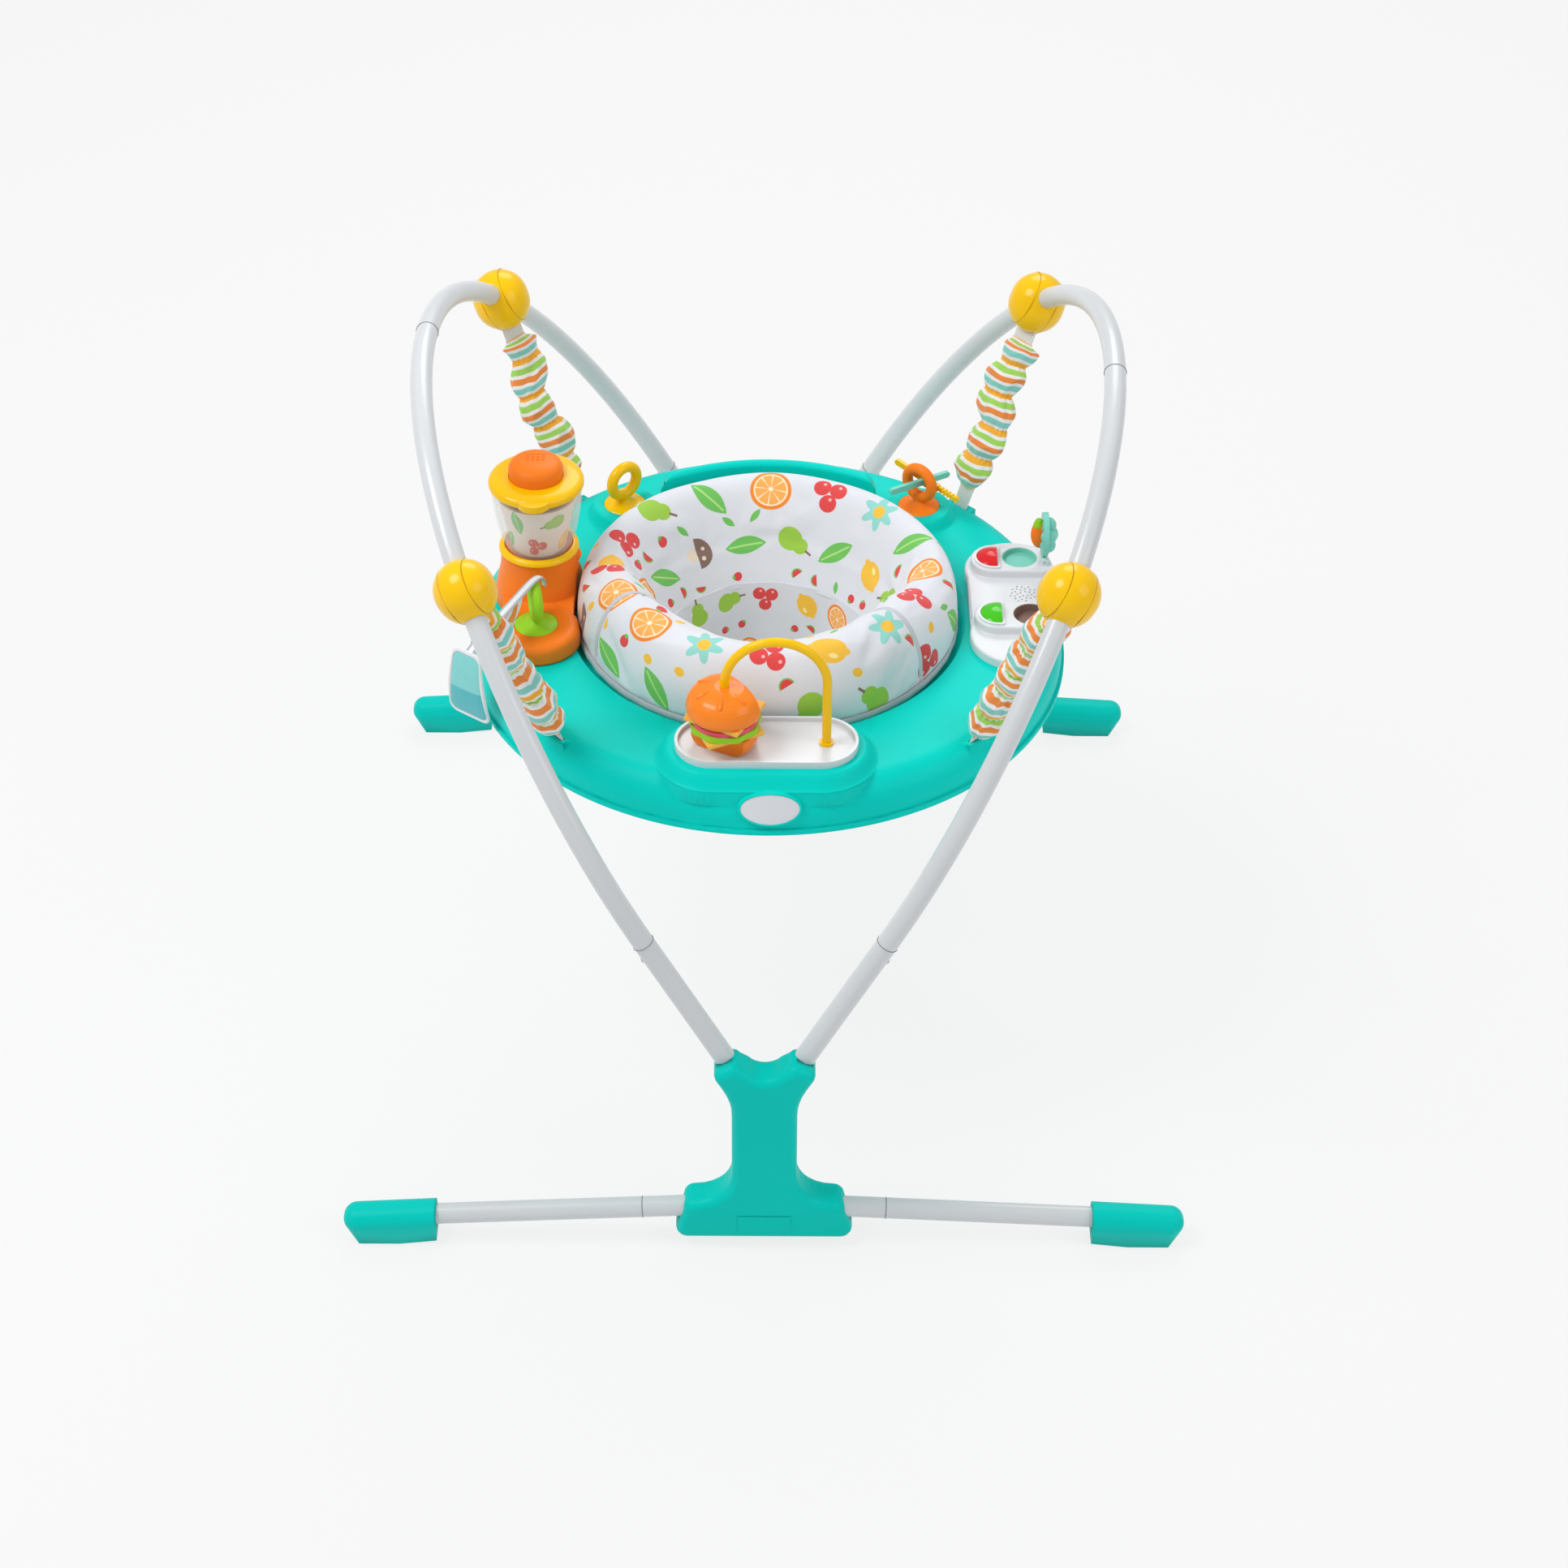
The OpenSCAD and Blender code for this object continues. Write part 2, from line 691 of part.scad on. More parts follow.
// The places of the snap button of one tube joint.
module leg_snap(side, end) {
    hoop_leg(side, end)
        translate([0, 0, -spigot_len / 2])
            children();
}

module base_snap(side, end) {
    base_line(side, end)
        translate([0, 0, stub_half - spigot_len / 2])
            children();
}

module crown_snap(side) {
    turn = 90 + side * (crown_joint_turn - spigot_turn / 2);
    hoop_plane(side)
        translate([0, crown_r * cos(turn), crown_w + crown_r * sin(turn)])
            children();
}

module base_stub_tubes() {
    color("gainsboro")
        for (end = [-1, 1])
            difference() {
                for (side = [-1, 1])
                    intersection() {
                        base_line(side, end)
                            pipe(tube_r, bore_r, -tube_d, stub_half);
                        translate([side < 0 ? -far : 0, -far, 0])
                            cube([far, far * 2, far]);
                    }
                for (side = [-1, 1])
                    base_snap(side, end)
                        snap_pin(side, snap_r + fit, tube_r + over);
            }
}

module leg_tube(side, end) {
    reach = (foot_tip_x - foot_len + foot_socket) / cos(base_droop);
    color("gainsboro")
        difference() {
            base_line(side, end) {
                pipe(tube_r, bore_r, stub_half, reach);
                translate([0, 0, stub_half])
                    spigot();
            }
            base_snap(side, end)
                snap_pin(side, snap_r + fit, tube_r);
        }
}

module foot(side, end) {
    start = foot_tip_x - foot_len;
    start_z = base_z - start * tan(base_droop);
    tip_z = base_z - foot_tip_x * tan(base_droop);
    flat = foot_r * 0.16;
    lip = foot_r * 0.15;
    tip = foot_tip_x - foot_r;
    pad_half = foot_r * 0.95;
    color("lightseagreen")
        difference() {
            mirror([side < 0 ? 1 : 0, 0, 0])
                translate([0, end * base_y, 0])
                    hull() {
                        for (y = [-flat, flat]) {
                            translate([start, y, start_z])
                                rotate([0, 90, 0])
                                    cylinder(r = foot_r, h = lip, $fn = 32);
                            translate([tip, y, tip_z])
                                sphere(r = foot_r, $fn = 32);
                        }
                        translate([start + foot_len * 0.4, -pad_half, 0])
                            cube([foot_len * 0.44, pad_half * 2, lip]);
                        translate([start, -pad_half, foot_step])
                            cube([lip, pad_half * 2, lip]);
                    }
            base_line(side, end)
                translate([0, 0, start / cos(base_droop) - foot_r])
                    cylinder(r = tube_r + fit, h = foot_r + foot_socket + gap);
        }
}

module lower_tube(side, end) {
    color("gainsboro")
        difference() {
            hoop_leg(side, end)
                pipe(tube_r, bore_r, -leg_len, 0);
            leg_snap(side, end)
                snap_pin(side, snap_r + fit, tube_r + over);
        }
}

// The longer tube of a hoop passes the crown and takes the spigot of the shorter one.
module arch_tube(side, end) {
    long = side == end;
    past = (long ? 1 : -1) * crown_joint_turn;
    color("gainsboro")
        difference() {
            union() {
                hoop_plane(side)
                    mirror([0, end > 0 ? 1 : 0, 0]) {
                        hoop_bends(past, tube_r, bore_r, seam_turn);
                        bend_core();
                        if (!long) {
                            bend([0, crown_w], crown_r, 90 - past - spigot_turn, spigot_turn + plug_turn,
                                spigot_r, spigot_bore_r);
                            bend([0, crown_w], crown_r, 90 - past + plug_turn / 4, plug_turn / 2,
                                plug_r, core_r);
                        }
                    }
                hoop_leg(side, end)
                    spigot();
            }
            leg_snap(side, end)
                snap_pin(side, snap_r + fit, tube_r);
            crown_snap(side)
                snap_pin(side, snap_r + fit, tube_r + over);
        }
}

// A pin with a chamfered head, proud of the tube.
module snap_button(side) {
    snap_pin(side, snap_r, tube_r);
    rotate([0, side * 90, 0])
        translate([0, 0, tube_r])
            cylinder(r1 = snap_r, r2 = snap_r * 0.6, h = snap_proud);
}

module snap_buttons() {
    color("silver") {
        quarters() {
            leg_snap($side, $end)
                snap_button($side);
            base_snap($side, $end)
                snap_button($side);
        }
        for (side = [-1, 1])
            crown_snap(side)
                snap_button(side);
    }
}

// Hubs.

hub_right = concat(
    [[0, hub_gap]],
    arc([hub_foot_half - hub_foot_r, hub_gap + hub_foot_r], hub_foot_r, -90, 0, 4),
    arc([hub_shoulder_half - hub_shoulder_r, hub_block_top - hub_shoulder_r], hub_shoulder_r, 0, 90, 4),
    arc([neck_half + hub_fillet_r, hub_block_top + hub_fillet_r], hub_fillet_r, 270, 180, 7),
    arc([neck_half + flare_r, flare_z], flare_r, 180, 180 - hoop_tilt, 4),
    arc(arm_tip + (arm_half - tip_r) * arm_out - tip_r * arm_up, tip_r, -hoop_tilt, 90 - hoop_tilt, 3),
    arc(arm_tip - (arm_half - tip_r) * arm_out - tip_r * arm_up, tip_r, 90 - hoop_tilt, 180 - hoop_tilt, 3),
    arc([0, saddle_z + saddle_r], saddle_r, saddle_turn - 90, -90, 4)
);
hub_outline = concat(hub_right, [for (i = [len(hub_right) - 2:-1:1]) [-hub_right[i][0], hub_right[i][1]]]);
hub_edge_steps = 4;

// One half shell as a solid, from the parting plane towards -Y, cut flat at both faces.
module hub_half() {
    intersection() {
        rotate([90, 0, 0])
            loft(concat(
                [[for (p = hub_outline) [p[0], p[1], -over]]],
                [for (k = [0:hub_edge_steps])
                    let (
                        a = 90 * k / hub_edge_steps
                    )
                    [for (p = inset(hub_outline, hub_edge_r * (1 - cos(a))))
                        [p[0], p[1], hub_depth - hub_edge_r * (1 - sin(a))]]],
                [[for (p = inset(hub_outline, hub_edge_r)) [p[0], p[1], hub_depth + over]]]
            ));
        translate([-far / 2, -hub_depth, 0])
            cube([far, hub_depth, far]);
    }
}

module base_bore(side) {
    base_line(side, -1)
        translate([0, 0, -over])
            cylinder(r = tube_r + fit, h = stub_half + over);
}

// The front hub's children, bored for everything that passes through the hub.
module hub_bored() {
    difference() {
        difference() {
            translate([0, -hub_mid_y, 0])
                children();
            base_bore(1);
        }
        base_bore(-1);
        for (side = [-1, 1])
            hoop_leg(side, -1)
                translate([0, 0, -leg_len - fit])
                    cylinder(r = tube_r + fit, h = leg_len);
        for (p = screw_places)
            translate([p[0], -hub_mid_y + hub_depth, p[1]])
                screw_shape(fit);
    }
}

// A screw that starts flush with the inner face and runs towards -Y, grown by the given play.
module screw_shape(play) {
    rotate([90, 0, 0]) {
        translate([0, 0, -play])
            cylinder(r = screw_head_r + play, h = screw_head_h + play * 2);
        cylinder(r = screw_r + play, h = screw_len + play);
    }
}

module hub_outer_shell(end) {
    color("lightseagreen")
        rotate([0, 0, end > 0 ? 180 : 0])
            hub_bored()
                union() {
                    hub_half();
                    translate([-hub_pad_w / 2, -hub_depth - hub_pad_t, hub_gap * 2])
                        cube([hub_pad_w, hub_pad_t * 3, hub_pad_h]);
                }
}

module hub_inner_shells() {
    color("lightseagreen")
        for (turn = [0, 180])
            rotate([0, 0, turn])
                hub_bored()
                    rotate([0, 0, 180])
                        hub_half();
}

module hub_screws() {
    color("silver")
        for (turn = [0, 180], p = screw_places)
            rotate([0, 0, turn])
                translate([p[0], -hub_mid_y + hub_depth, p[1]])
                    screw_shape(0);
}

// Strap balls, straps and sleeves.

module ball_shape(side, end) {
    strap_frame(side, end)
        translate([0, 0, strap_reach]) {
            for (z = [-1, 1])
                translate([0, 0, z * ball_stretch / 2])
                    sphere(r = ball_r);
            translate([0, 0, -ball_stretch / 2])
                cylinder(r = ball_r, h = ball_stretch);
        }
}

module band_slab(side) {
    hoop_plane(side)
        translate([-band_w / 2, -far, -far])
            cube([band_w, far * 2, far * 3]);
}

module strap_blank(side, end, play) {
    strap_frame(side, end)
        translate([-strap_t / 2 - play, -strap_w / 2 - play, -play])
            cube([strap_t + 2 * play, strap_w + 2 * play, strap_len + 2 * play]);
}

module ball_band(side, end) {
    color("gold")
        difference() {
            intersection() {
                ball_shape(side, end);
                band_slab(side);
            }
            hoop_plane(side)
                mirror([0, end > 0 ? 1 : 0, 0])
                    hoop_bends(-crown_joint_turn, tube_r + fit, 0, 0);
            strap_blank(side, end, gap);
        }
}

module ball_caps() {
    color("gold")
        quarters()
            difference() {
                ball_shape($side, $end);
                band_slab($side);
            }
}

module elastic_straps() {
    color("white")
        quarters()
            strap_blank($side, $end, 0);
}

// Outer radius of a sleeve as a share, pinched at each shirred row and puffed between.
function puff(z, a) = 0.84 + 0.16 * pow(abs(sin(180 * (z - sleeve_from) / shirr_pitch)), 0.7)
    - 0.035 * (1 + sin(3 * a + 360 * z / shirr_pitch * 0.6));

// One lengthwise section of a sleeve at bearing a: up the outside and down the bore.
function sleeve_section(a) = concat(
    [for (k = [0:sleeve_rings])
        let (
            z = sleeve_from + (sleeve_to - sleeve_from) * k / sleeve_rings,
            p = puff(z, a)
        )
        [p * sleeve_t / 2 * cos(a), p * sleeve_w / 2 * sin(a), z]],
    [for (z = [sleeve_to, sleeve_from])
        [strap_t * sleeve_bore_share * cos(a), strap_w / 2 * sleeve_bore_share * sin(a), z]]
);

module strap_sleeves() {
    color("khaki")
        quarters()
            strap_frame($side, $end)
                closed_ring([for (i = [0:sleeve_sides - 1]) sleeve_section(360 * i / sleeve_sides)]);
}

// Tray.

// The quarter round from the flat top to the skirt, on the outside or moved in by the wall.
function tray_round(in) = [for (i = [0:8])
    let (
        a = 90 * i / 8
    )
    [flat_r + (skirt_r - flat_r - in) * sin(a), tray_top - in - (round_h - in) * (1 - cos(a))]];

tray_profile = concat(
    [[opening_r, ledge_z - tray_wall], [opening_r, ledge_z]],
    [[recess_r - recess_slope, ledge_z], [recess_r, tray_top]],
    tray_round(0),
    [[skirt_r, skirt_low + lip_h], [tray_r, skirt_low + lip_h], [tray_r, skirt_low]],
    [[skirt_r - tray_wall, skirt_low]],
    [for (i = [8:-1:0]) tray_round(tray_wall)[i]],
    [[recess_r + tray_wall, tray_top - tray_wall]],
    [[recess_r - recess_slope + tray_wall, ledge_z - tray_wall]]
);

// A soft slope from a flat top down to the tray, as radius and height.
function slope_profile(r, run, h) = [for (i = [0:8])
    [r + run * (1 - i / 8), h * (1 - cos(180 * i / 8)) / 2]];

module front_boss() {
    p = slope_profile(boss_flat_r, boss_slope, boss_h);
    foot = tray_wall * 4;
    half = concat([[p[0][0], -foot]], p);
    translate([0, -plate_y, tray_top]) {
        for (side = [-1, 1])
            translate([side * plate_end, 0, 0])
                rotate_extrude()
                    polygon(concat([[0, -foot]], half, [[0, boss_h]]));
        translate([-plate_end, 0, 0])
            rotate([90, 0, 90])
                linear_extrude(height = plate_end * 2)
                    polygon(concat(half, [for (i = [len(half) - 1:-1:0]) [-half[i][0], half[i][1]]]));
    }
}

module loop_boss(x) {
    p = slope_profile(loop_boss_r, loop_boss_slope, loop_boss_h);
    translate([x, loop_y, tray_top])
        difference() {
            rotate_extrude()
                polygon(concat([[0, -tray_wall]], [[p[0][0], -tray_wall]], p, [[0, loop_boss_h]]));
            translate([0, 0, loop_boss_h - loop_sink])
                cylinder(r = loop_disc_r + fit, h = loop_sink + over);
        }
}

module rear_rim() {
    top = tray_top + rim_h;
    intersection() {
        rotate_extrude()
            translate([rim_in, 0]) {
                translate([0, tray_top - tray_wall / 2])
                    square([rim_t, rim_h + tray_wall / 2 - rim_t / 2]);
                translate([rim_t / 2, top - rim_t / 2])
                    circle(r = rim_t / 2);
            }
        translate([0, far, 0])
            rotate([90, 0, 0])
                linear_extrude(height = far)
                    union() {
                        translate([-rim_half, 0])
                            square([rim_half * 2, top - rim_corner_r]);
                        translate([-rim_half + rim_corner_r, 0])
                            square([(rim_half - rim_corner_r) * 2, top]);
                        for (side = [-1, 1])
                            translate([side * (rim_half - rim_corner_r), top - rim_corner_r])
                                circle(r = rim_corner_r);
                    }
    }
}

module strap_lug(side, end) {
    translate([side * lug_at[0], end * lug_at[1], tray_top - skirt_h / 2])
        rotate([0, 0, atan2(end * lug_at[1], side * lug_at[0])])
            translate([-lug_t / 2, -lug_w / 2, 0])
                cube([lug_t, lug_w, (skirt_h - lug_h) / 2]);
}

module tray() {
    color("turquoise")
        difference() {
            union() {
                rotate_extrude()
                    polygon(tray_profile);
                difference() {
                    union() {
                        front_boss();
                        loop_boss(-yellow_loop_x);
                        loop_boss(loop_x);
                    }
                    cylinder(r = recess_r + lip_w / 2, h = far);
                }
                rear_rim();
                quarters()
                    strap_lug($side, $end);
            }
            quarters()
                strap_blank($side, $end, gap);
        }
}

// Seat.

module seat_ring() {
    neck = opening_r - gap;
    low = ledge_z - tray_wall - gap;
    color("white")
        rotate_extrude()
            polygon([
                [ring_in, ring_z + ring_t], [ring_in, low - ring_lip * 2], [neck, low - ring_lip * 2],
                [opening_r + ring_lip, low - ring_lip], [opening_r + ring_lip, low], [neck, low],
                [neck, ring_z], [ring_out, ring_z], [ring_out, ring_z + ring_t]
            ]);
}

// A section of the padded ring at bearing a, with its crown rising and falling a little on the way round.
function cushion_section(a) = [for (s = cushion_shares)
    let (
        lift = s[1] > 0.2 ? cushion_wave_share * s[1] * (sin(5 * a + 40) + 0.6 * sin(9 * a)) : 0,
        r = cushion_in + (cushion_r - cushion_in) * s[0]
    )
    [r * cos(a), r * sin(a), cushion_z + cushion_h * (s[1] + lift)]];

module seat_cushion() {
    color("white")
        closed_ring([for (i = [0:cushion_sides - 1]) cushion_section(360 * i / cushion_sides)]);
}

// A wall section of the bucket at bearing a, with gathered folds that fade out towards the rim.
function bucket_section(a) =
    let (
        wall = [for (s = bucket_shares)
            let (
                r = cushion_in * s[0] * (1 + bucket_fold_share * s[1] * sin(bucket_folds * a))
            )
            [r, bucket_z - bucket_h * s[1]]],
        last = len(wall) - 1
    )
    concat(
        [for (i = [last:-1:0]) [(wall[i][0] + bucket_t) * cos(a), (wall[i][0] + bucket_t) * sin(a),
            wall[i][1] - (i == last ? bucket_t : 0)]],
        [for (i = [0:last]) [wall[i][0] * cos(a), wall[i][0] * sin(a), wall[i][1]]]
    );

module seat_bucket() {
    floor_r = cushion_in * 0.37;
    color("white")
        difference() {
            union() {
                closed_ring([for (i = [0:bucket_sides - 1]) bucket_section(360 * i / bucket_sides)]);
                translate([0, 0, bucket_z - bucket_h - bucket_t])
                    cylinder(r = floor_r, h = bucket_t);
            }
            for (side = [-1, 1])
                translate([0, 0, bucket_z - bucket_h * leg_hole_share])
                    rotate([90, 0, side * leg_hole_turn])
                        translate([0, 0, cushion_in * 0.45])
                            cylinder(r = leg_hole_r, h = cushion_in);
        }
}

// Loops, sticks and tag.

// A loop post with its ring's axis along X.
module loop_post() {
    turned_solid(turned(loop_shares, loop_disc_r, loop_flare_h));
    cylinder(r = loop_neck_r, h = loop_flare_h + loop_bar_r);
    translate([0, 0, loop_ring_z])
        rotate([0, 90, 0])
            rotate_extrude()
                translate([loop_ring_r, 0])
                    circle(r = loop_bar_r);
}

module yellow_loop() {
    color("gold")
        translate([-yellow_loop_x, loop_y, loop_seat_z])
            rotate([0, 0, 180 - loop_turn])
                loop_post();
}

module orange_loop() {
    color("darkorange")
        translate([loop_x, loop_y, loop_seat_z])
            rotate([0, 0, loop_turn])
                loop_post();
}

module green_loop() {
    color("yellowgreen")
        translate([lobe_at[0], lobe_at[1], green_z])
            rotate([0, 0, green_turn])
                loop_post();
}

// A flat stick along X with round paddle ends.
module stick(length) {
    half = (length - stick_w) / 2;
    translate([-half, -stick_t / 2, -stick_w / 2])
        cube([half * 2, stick_t, stick_w]);
    for (x = [-half, half])
        translate([x, stick_t / 2, 0])
            rotate([90, 0, 0])
                cylinder(r = stick_w / 2, h = stick_t);
}

module teal_stick() {
    color("mediumturquoise")
        translate(orange_ring_at)
            rotate([0, 0, teal_turn])
                stick(stick_len);
}

// The stick behind the loop, with an eye that the teal stick passes through.
module yellow_stick() {
    color("gold")
        translate(orange_ring_at)
            rotate([0, 0, loop_turn - 90])
                translate([yellow_back * tan(loop_turn - teal_turn), yellow_back, 0])
                    rotate([0, -yellow_rise, 0])
                        difference() {
                            union() {
                                stick(yellow_stick_len);
                                translate([0, stick_t / 2, 0])
                                    rotate([90, 0, 0])
                                        cylinder(r = eye_r, h = stick_t);
                            }
                            translate([0, stick_t, 0])
                                rotate([90, 0, 0])
                                    cylinder(r = eye_bore_r, h = stick_t * 2);
                            for (i = [1:teeth], z = [-1, 1])
                                translate([yellow_stick_len * (0.16 + 0.055 * i), stick_t, z * stick_w / 2])
                                    rotate([90, 0, 0])
                                        cylinder(r = tooth_r, h = stick_t * 2);
                        }
}

// The ribbon of the tag along its route, and the padded card that it carries.
module hang_tag() {
    end = ribbon_route[len(ribbon_route) - 1];
    path = curve(ribbon_route, 3);
    color("paleturquoise")
        translate(green_top)
            rotate([0, 0, tag_turn]) {
                loft([for (i = [0:len(path) - 1])
                    let (
                        t = path[min(i + 1, len(path) - 1)] - path[max(i - 1, 0)],
                        n = [-t[1], t[0]] / norm(t) * ribbon_t / 2,
                        a = path[i] + n,
                        b = path[i] - n,
                        share = i / (len(path) - 1),
                        half = ribbon_w / 2 * (ribbon_neck_share + (1 - ribbon_neck_share) * share)
                    )
                    [[a[0], half, a[1]], [a[0], -half, a[1]], [b[0], -half, b[1]], [b[0], half, b[1]]]]);
                translate([end[0] - tag_t / 2, 0, end[1] + tag_corner_r / 2])
                    rotate([0, 90, 0])
                        hull()
                            for (y = [-1, 1]) {
                                translate([tag_corner_r, y * (tag_w * 0.36 - tag_corner_r), 0])
                                    cylinder(r = tag_corner_r, h = tag_t, $fn = 32);
                                translate([tag_h - tag_corner_r, y * (tag_w / 2 - tag_corner_r), 0])
                                    cylinder(r = tag_corner_r, h = tag_t, $fn = 32);
                            }
            }
}

// Blender toy.

module blender_base() {
    rise = turned(stand_shares, stand_r, stand_h);
    color("darkorange")
        difference() {
            union() {
                translate(blender_at) {
                    turned_solid(rise);
                    translate([-bridge_half, -lobe_gap, 0])
                        cube([bridge_half * 2, lobe_gap, bridge_h]);
                    translate([stand_r * 0.8, 0, stand_h * 0.84])
                        sphere(r = side_knob_r);
                }
                translate(lobe_at)
                    turned_solid(turned(lobe_shares, lobe_r, lobe_h));
            }
            translate([lobe_at[0], lobe_at[1], green_z])
                cylinder(r = loop_disc_r + fit, h = loop_sink + over);
            translate(blender_at)
                translate([0, 0, -over])
                    cylinder(r = stand_r - stand_wall * 3, h = stand_h - stand_wall + over);
            cylinder(r = cushion_r + seat_clear, h = tray_top + stand_h * 0.6);
        }
}

module blender_collar() {
    color("gold")
        translate(blender_at + [0, 0, stand_h])
            difference() {
                rotate_extrude()
                    translate([collar_ring_r, 0])
                        circle(r = collar_bar_r);
                translate([0, 0, -collar_bar_r * 2])
                    cylinder(r = stand_r, h = collar_bar_r * 2);
                cylinder(r = jug_r * jug_shares[1][0] + fit, h = collar_bar_r * 2);
            }
}

module blender_jug() {
    outside = turned(jug_shares, jug_r, jug_h);
    color("aliceblue", 0.4)
        translate(blender_at + [0, 0, jug_z]) {
            rotate_extrude()
                polygon(concat(
                    outside,
                    [for (i = [len(outside) - 1:-1:0]) [outside[i][0] - jug_wall, outside[i][1]]]
                ));
            cylinder(r = outside[0][0] - jug_wall / 2, h = jug_wall);
            cylinder(r = axle_r, h = axle_h);
        }
}

module blender_drum() {
    color("mistyrose")
        translate(blender_at + [0, 0, drum_z])
            difference() {
                cylinder(r1 = drum_foot_r, r2 = drum_top_r, h = drum_h);
                translate([0, 0, drum_wall * 2])
                    cylinder(r1 = drum_foot_r - drum_wall, r2 = drum_top_r - drum_wall, h = drum_h);
                translate([0, 0, -over])
                    cylinder(r = axle_r + run_fit, h = drum_h);
            }
}

module blender_lid() {
    color("gold")
        translate(blender_at + [0, 0, lid_z])
            difference() {
                union() {
                    turned_solid(turned(lid_shares, lid_r, lid_h));
                    translate([0, -spout_at, 0]) {
                        cylinder(r = spout_r, h = spout_h / 2);
                        translate([0, 0, spout_h / 2])
                            intersection() {
                                sphere(r = spout_r);
                                cylinder(r = spout_r, h = spout_h / 2);
                            }
                    }
                }
                translate([0, 0, -over])
                    cylinder(r = push_r + gap, h = lid_h + 2 * over);
            }
}

module blender_button() {
    color("darkorange")
        translate(blender_at + [0, 0, lid_z + lid_h - push_sink]) {
            cylinder(r = push_r, h = push_sink);
            translate([0, 0, push_sink])
                turned_solid(turned(push_shares, push_r, push_h));
        }
}

// Burger toy.

// The plate's outline, drawn in by the given amount.
module plate_slab(in, h) {
    for (side = [-1, 1])
        translate([side * plate_end, 0, 0])
            cylinder(r = plate_w / 2 - in, h = h);
    translate([-plate_end, in - plate_w / 2, 0])
        cube([plate_end * 2, plate_w - 2 * in, h]);
}

module burger_plate() {
    color("white")
        translate([0, -plate_y, plate_z])
            difference() {
                plate_slab(0, plate_h);
                translate([0, 0, plate_floor])
                    plate_slab(plate_rim, plate_h);
            }
}

module burger_bar() {
    color("gold")
        translate([bar_mid_x, -plate_y, bar_z]) {
            for (side = [-1, 1])
                translate([side * bar_bend_r, 0, 0])
                    cylinder(r = bar_r, h = bar_leg_h);
            translate([bar_bend_r, 0, 0])
                cylinder(r = bar_foot_r, h = bar_foot_h);
            translate([0, 0, bar_leg_h])
                rotate([90, 0, 0])
                    rotate_extrude(angle = 180)
                        translate([bar_bend_r, 0])
                            circle(r = bar_r);
        }
}

// A layer on the bar's left leg, from the given height, bored for the bar.
module layer(z) {
    translate([burger_x, -plate_y, z])
        difference() {
            children();
            translate([0, 0, -bun_h])
                cylinder(r = bar_r + run_fit, h = bun_h * 3);
        }
}

// A block that cuts a round layer flat at the given distance and bearing.
module flat_cut(turn, reach) {
    rotate([0, 0, turn])
        translate([reach, -bun_r * 2, -bun_h])
            cube([bun_r * 2, bun_r * 4, bun_h * 3]);
}

module bun_top() {
    color("orange")
        layer(bun_z)
            difference() {
                turned_solid(turned(bun_shares, bun_r, bun_h));
                flat_cut(bun_cut_turn, bun_r * bun_cut_share);
            }
}

module cheese_slice(z, turn) {
    color("khaki")
        layer(z)
            rotate([0, 0, turn])
                translate([-cheese_w / 2, -cheese_w / 2, 0])
                    cube([cheese_w, cheese_w, cheese_t]);
}

module cheese_upper() {
    cheese_slice(high_cheese_z, high_cheese_turn);
}

module cheese_lower() {
    cheese_slice(low_cheese_z, low_cheese_turn);
}

module ham_slice() {
    color("palevioletred")
        layer(ham_z)
            cylinder(r = ham_r, h = ham_t);
}

module lettuce_leaf() {
    color("yellowgreen")
        layer(lettuce_z)
            linear_extrude(height = lettuce_t)
                polygon([for (a = [0:5:355])
                    lettuce_r * (1 + lettuce_wave_share * sin(lettuce_waves * a)) * [cos(a), sin(a)]]);
}

module bun_bottom() {
    color("darkorange")
        layer(heel_z)
            difference() {
                turned_solid(turned(heel_shares, heel_r, heel_h));
                flat_cut(heel_cut_turn, heel_r * heel_cut_share);
            }
}

// Sound toy.

// The hourglass outline of the housing's skirt, drawn in by the given amount.
module sound_outline(in) {
    translate([sound_x, sound_y])
        circle(r = sound_r - in);
    translate(sound_front_at)
        circle(r = sound_front_r - in);
    translate([sound_waist + in, sound_front_at[1]])
        square([sound_r * 2 - in * 2, sound_gap]);
}

// The outlines of the two raised decks, drawn in by the given amount.
module deck_outline(in) {
    for (y = [rear_deck_y, front_deck_y]) {
        for (x = [key_x, deck_end_x])
            translate([x, y])
                circle(r = deck_r - in);
        translate([key_x, y - deck_r + in])
            square([deck_end_x - key_x, (deck_r - in) * 2]);
    }
}

// A round button outline cut straight on its outer side.
module key_outline(grow) {
    intersection() {
        circle(r = key_r + grow);
        translate([-key_r * 2, -key_r * 2])
            square([key_r * 2 + key_cut + grow, key_r * 4]);
    }
}

// The housing from the tray's top up, or the hollow inside it.
module sound_body(in, drop) {
    intersection() {
        union() {
            translate([0, 0, tray_top])
                linear_extrude(height = sound_skirt_h - drop)
                    sound_outline(in);
            translate([0, 0, tray_top])
                linear_extrude(height = sound_skirt_h + sound_deck_h - drop)
                    deck_outline(in);
        }
        cylinder(r = sound_edge_r - in, h = far);
    }
}

module hinge_cheeks(at) {
    for (side = [-1, 1])
        translate([at[0], at[1] + side * (hinge_half + gap + cheek_w / 2), deck_z - sound_wall / 2])
            difference() {
                translate([-hinge_r, -cheek_w / 2, 0])
                    cube([hinge_r * 2, cheek_w, at[2] - deck_z + sound_wall / 2 + hinge_r]);
                translate([0, cheek_w, at[2] - deck_z + sound_wall / 2])
                    rotate([90, 0, 0])
                        cylinder(r = hinge_pin_r + run_fit, h = cheek_w * 2);
            }
}

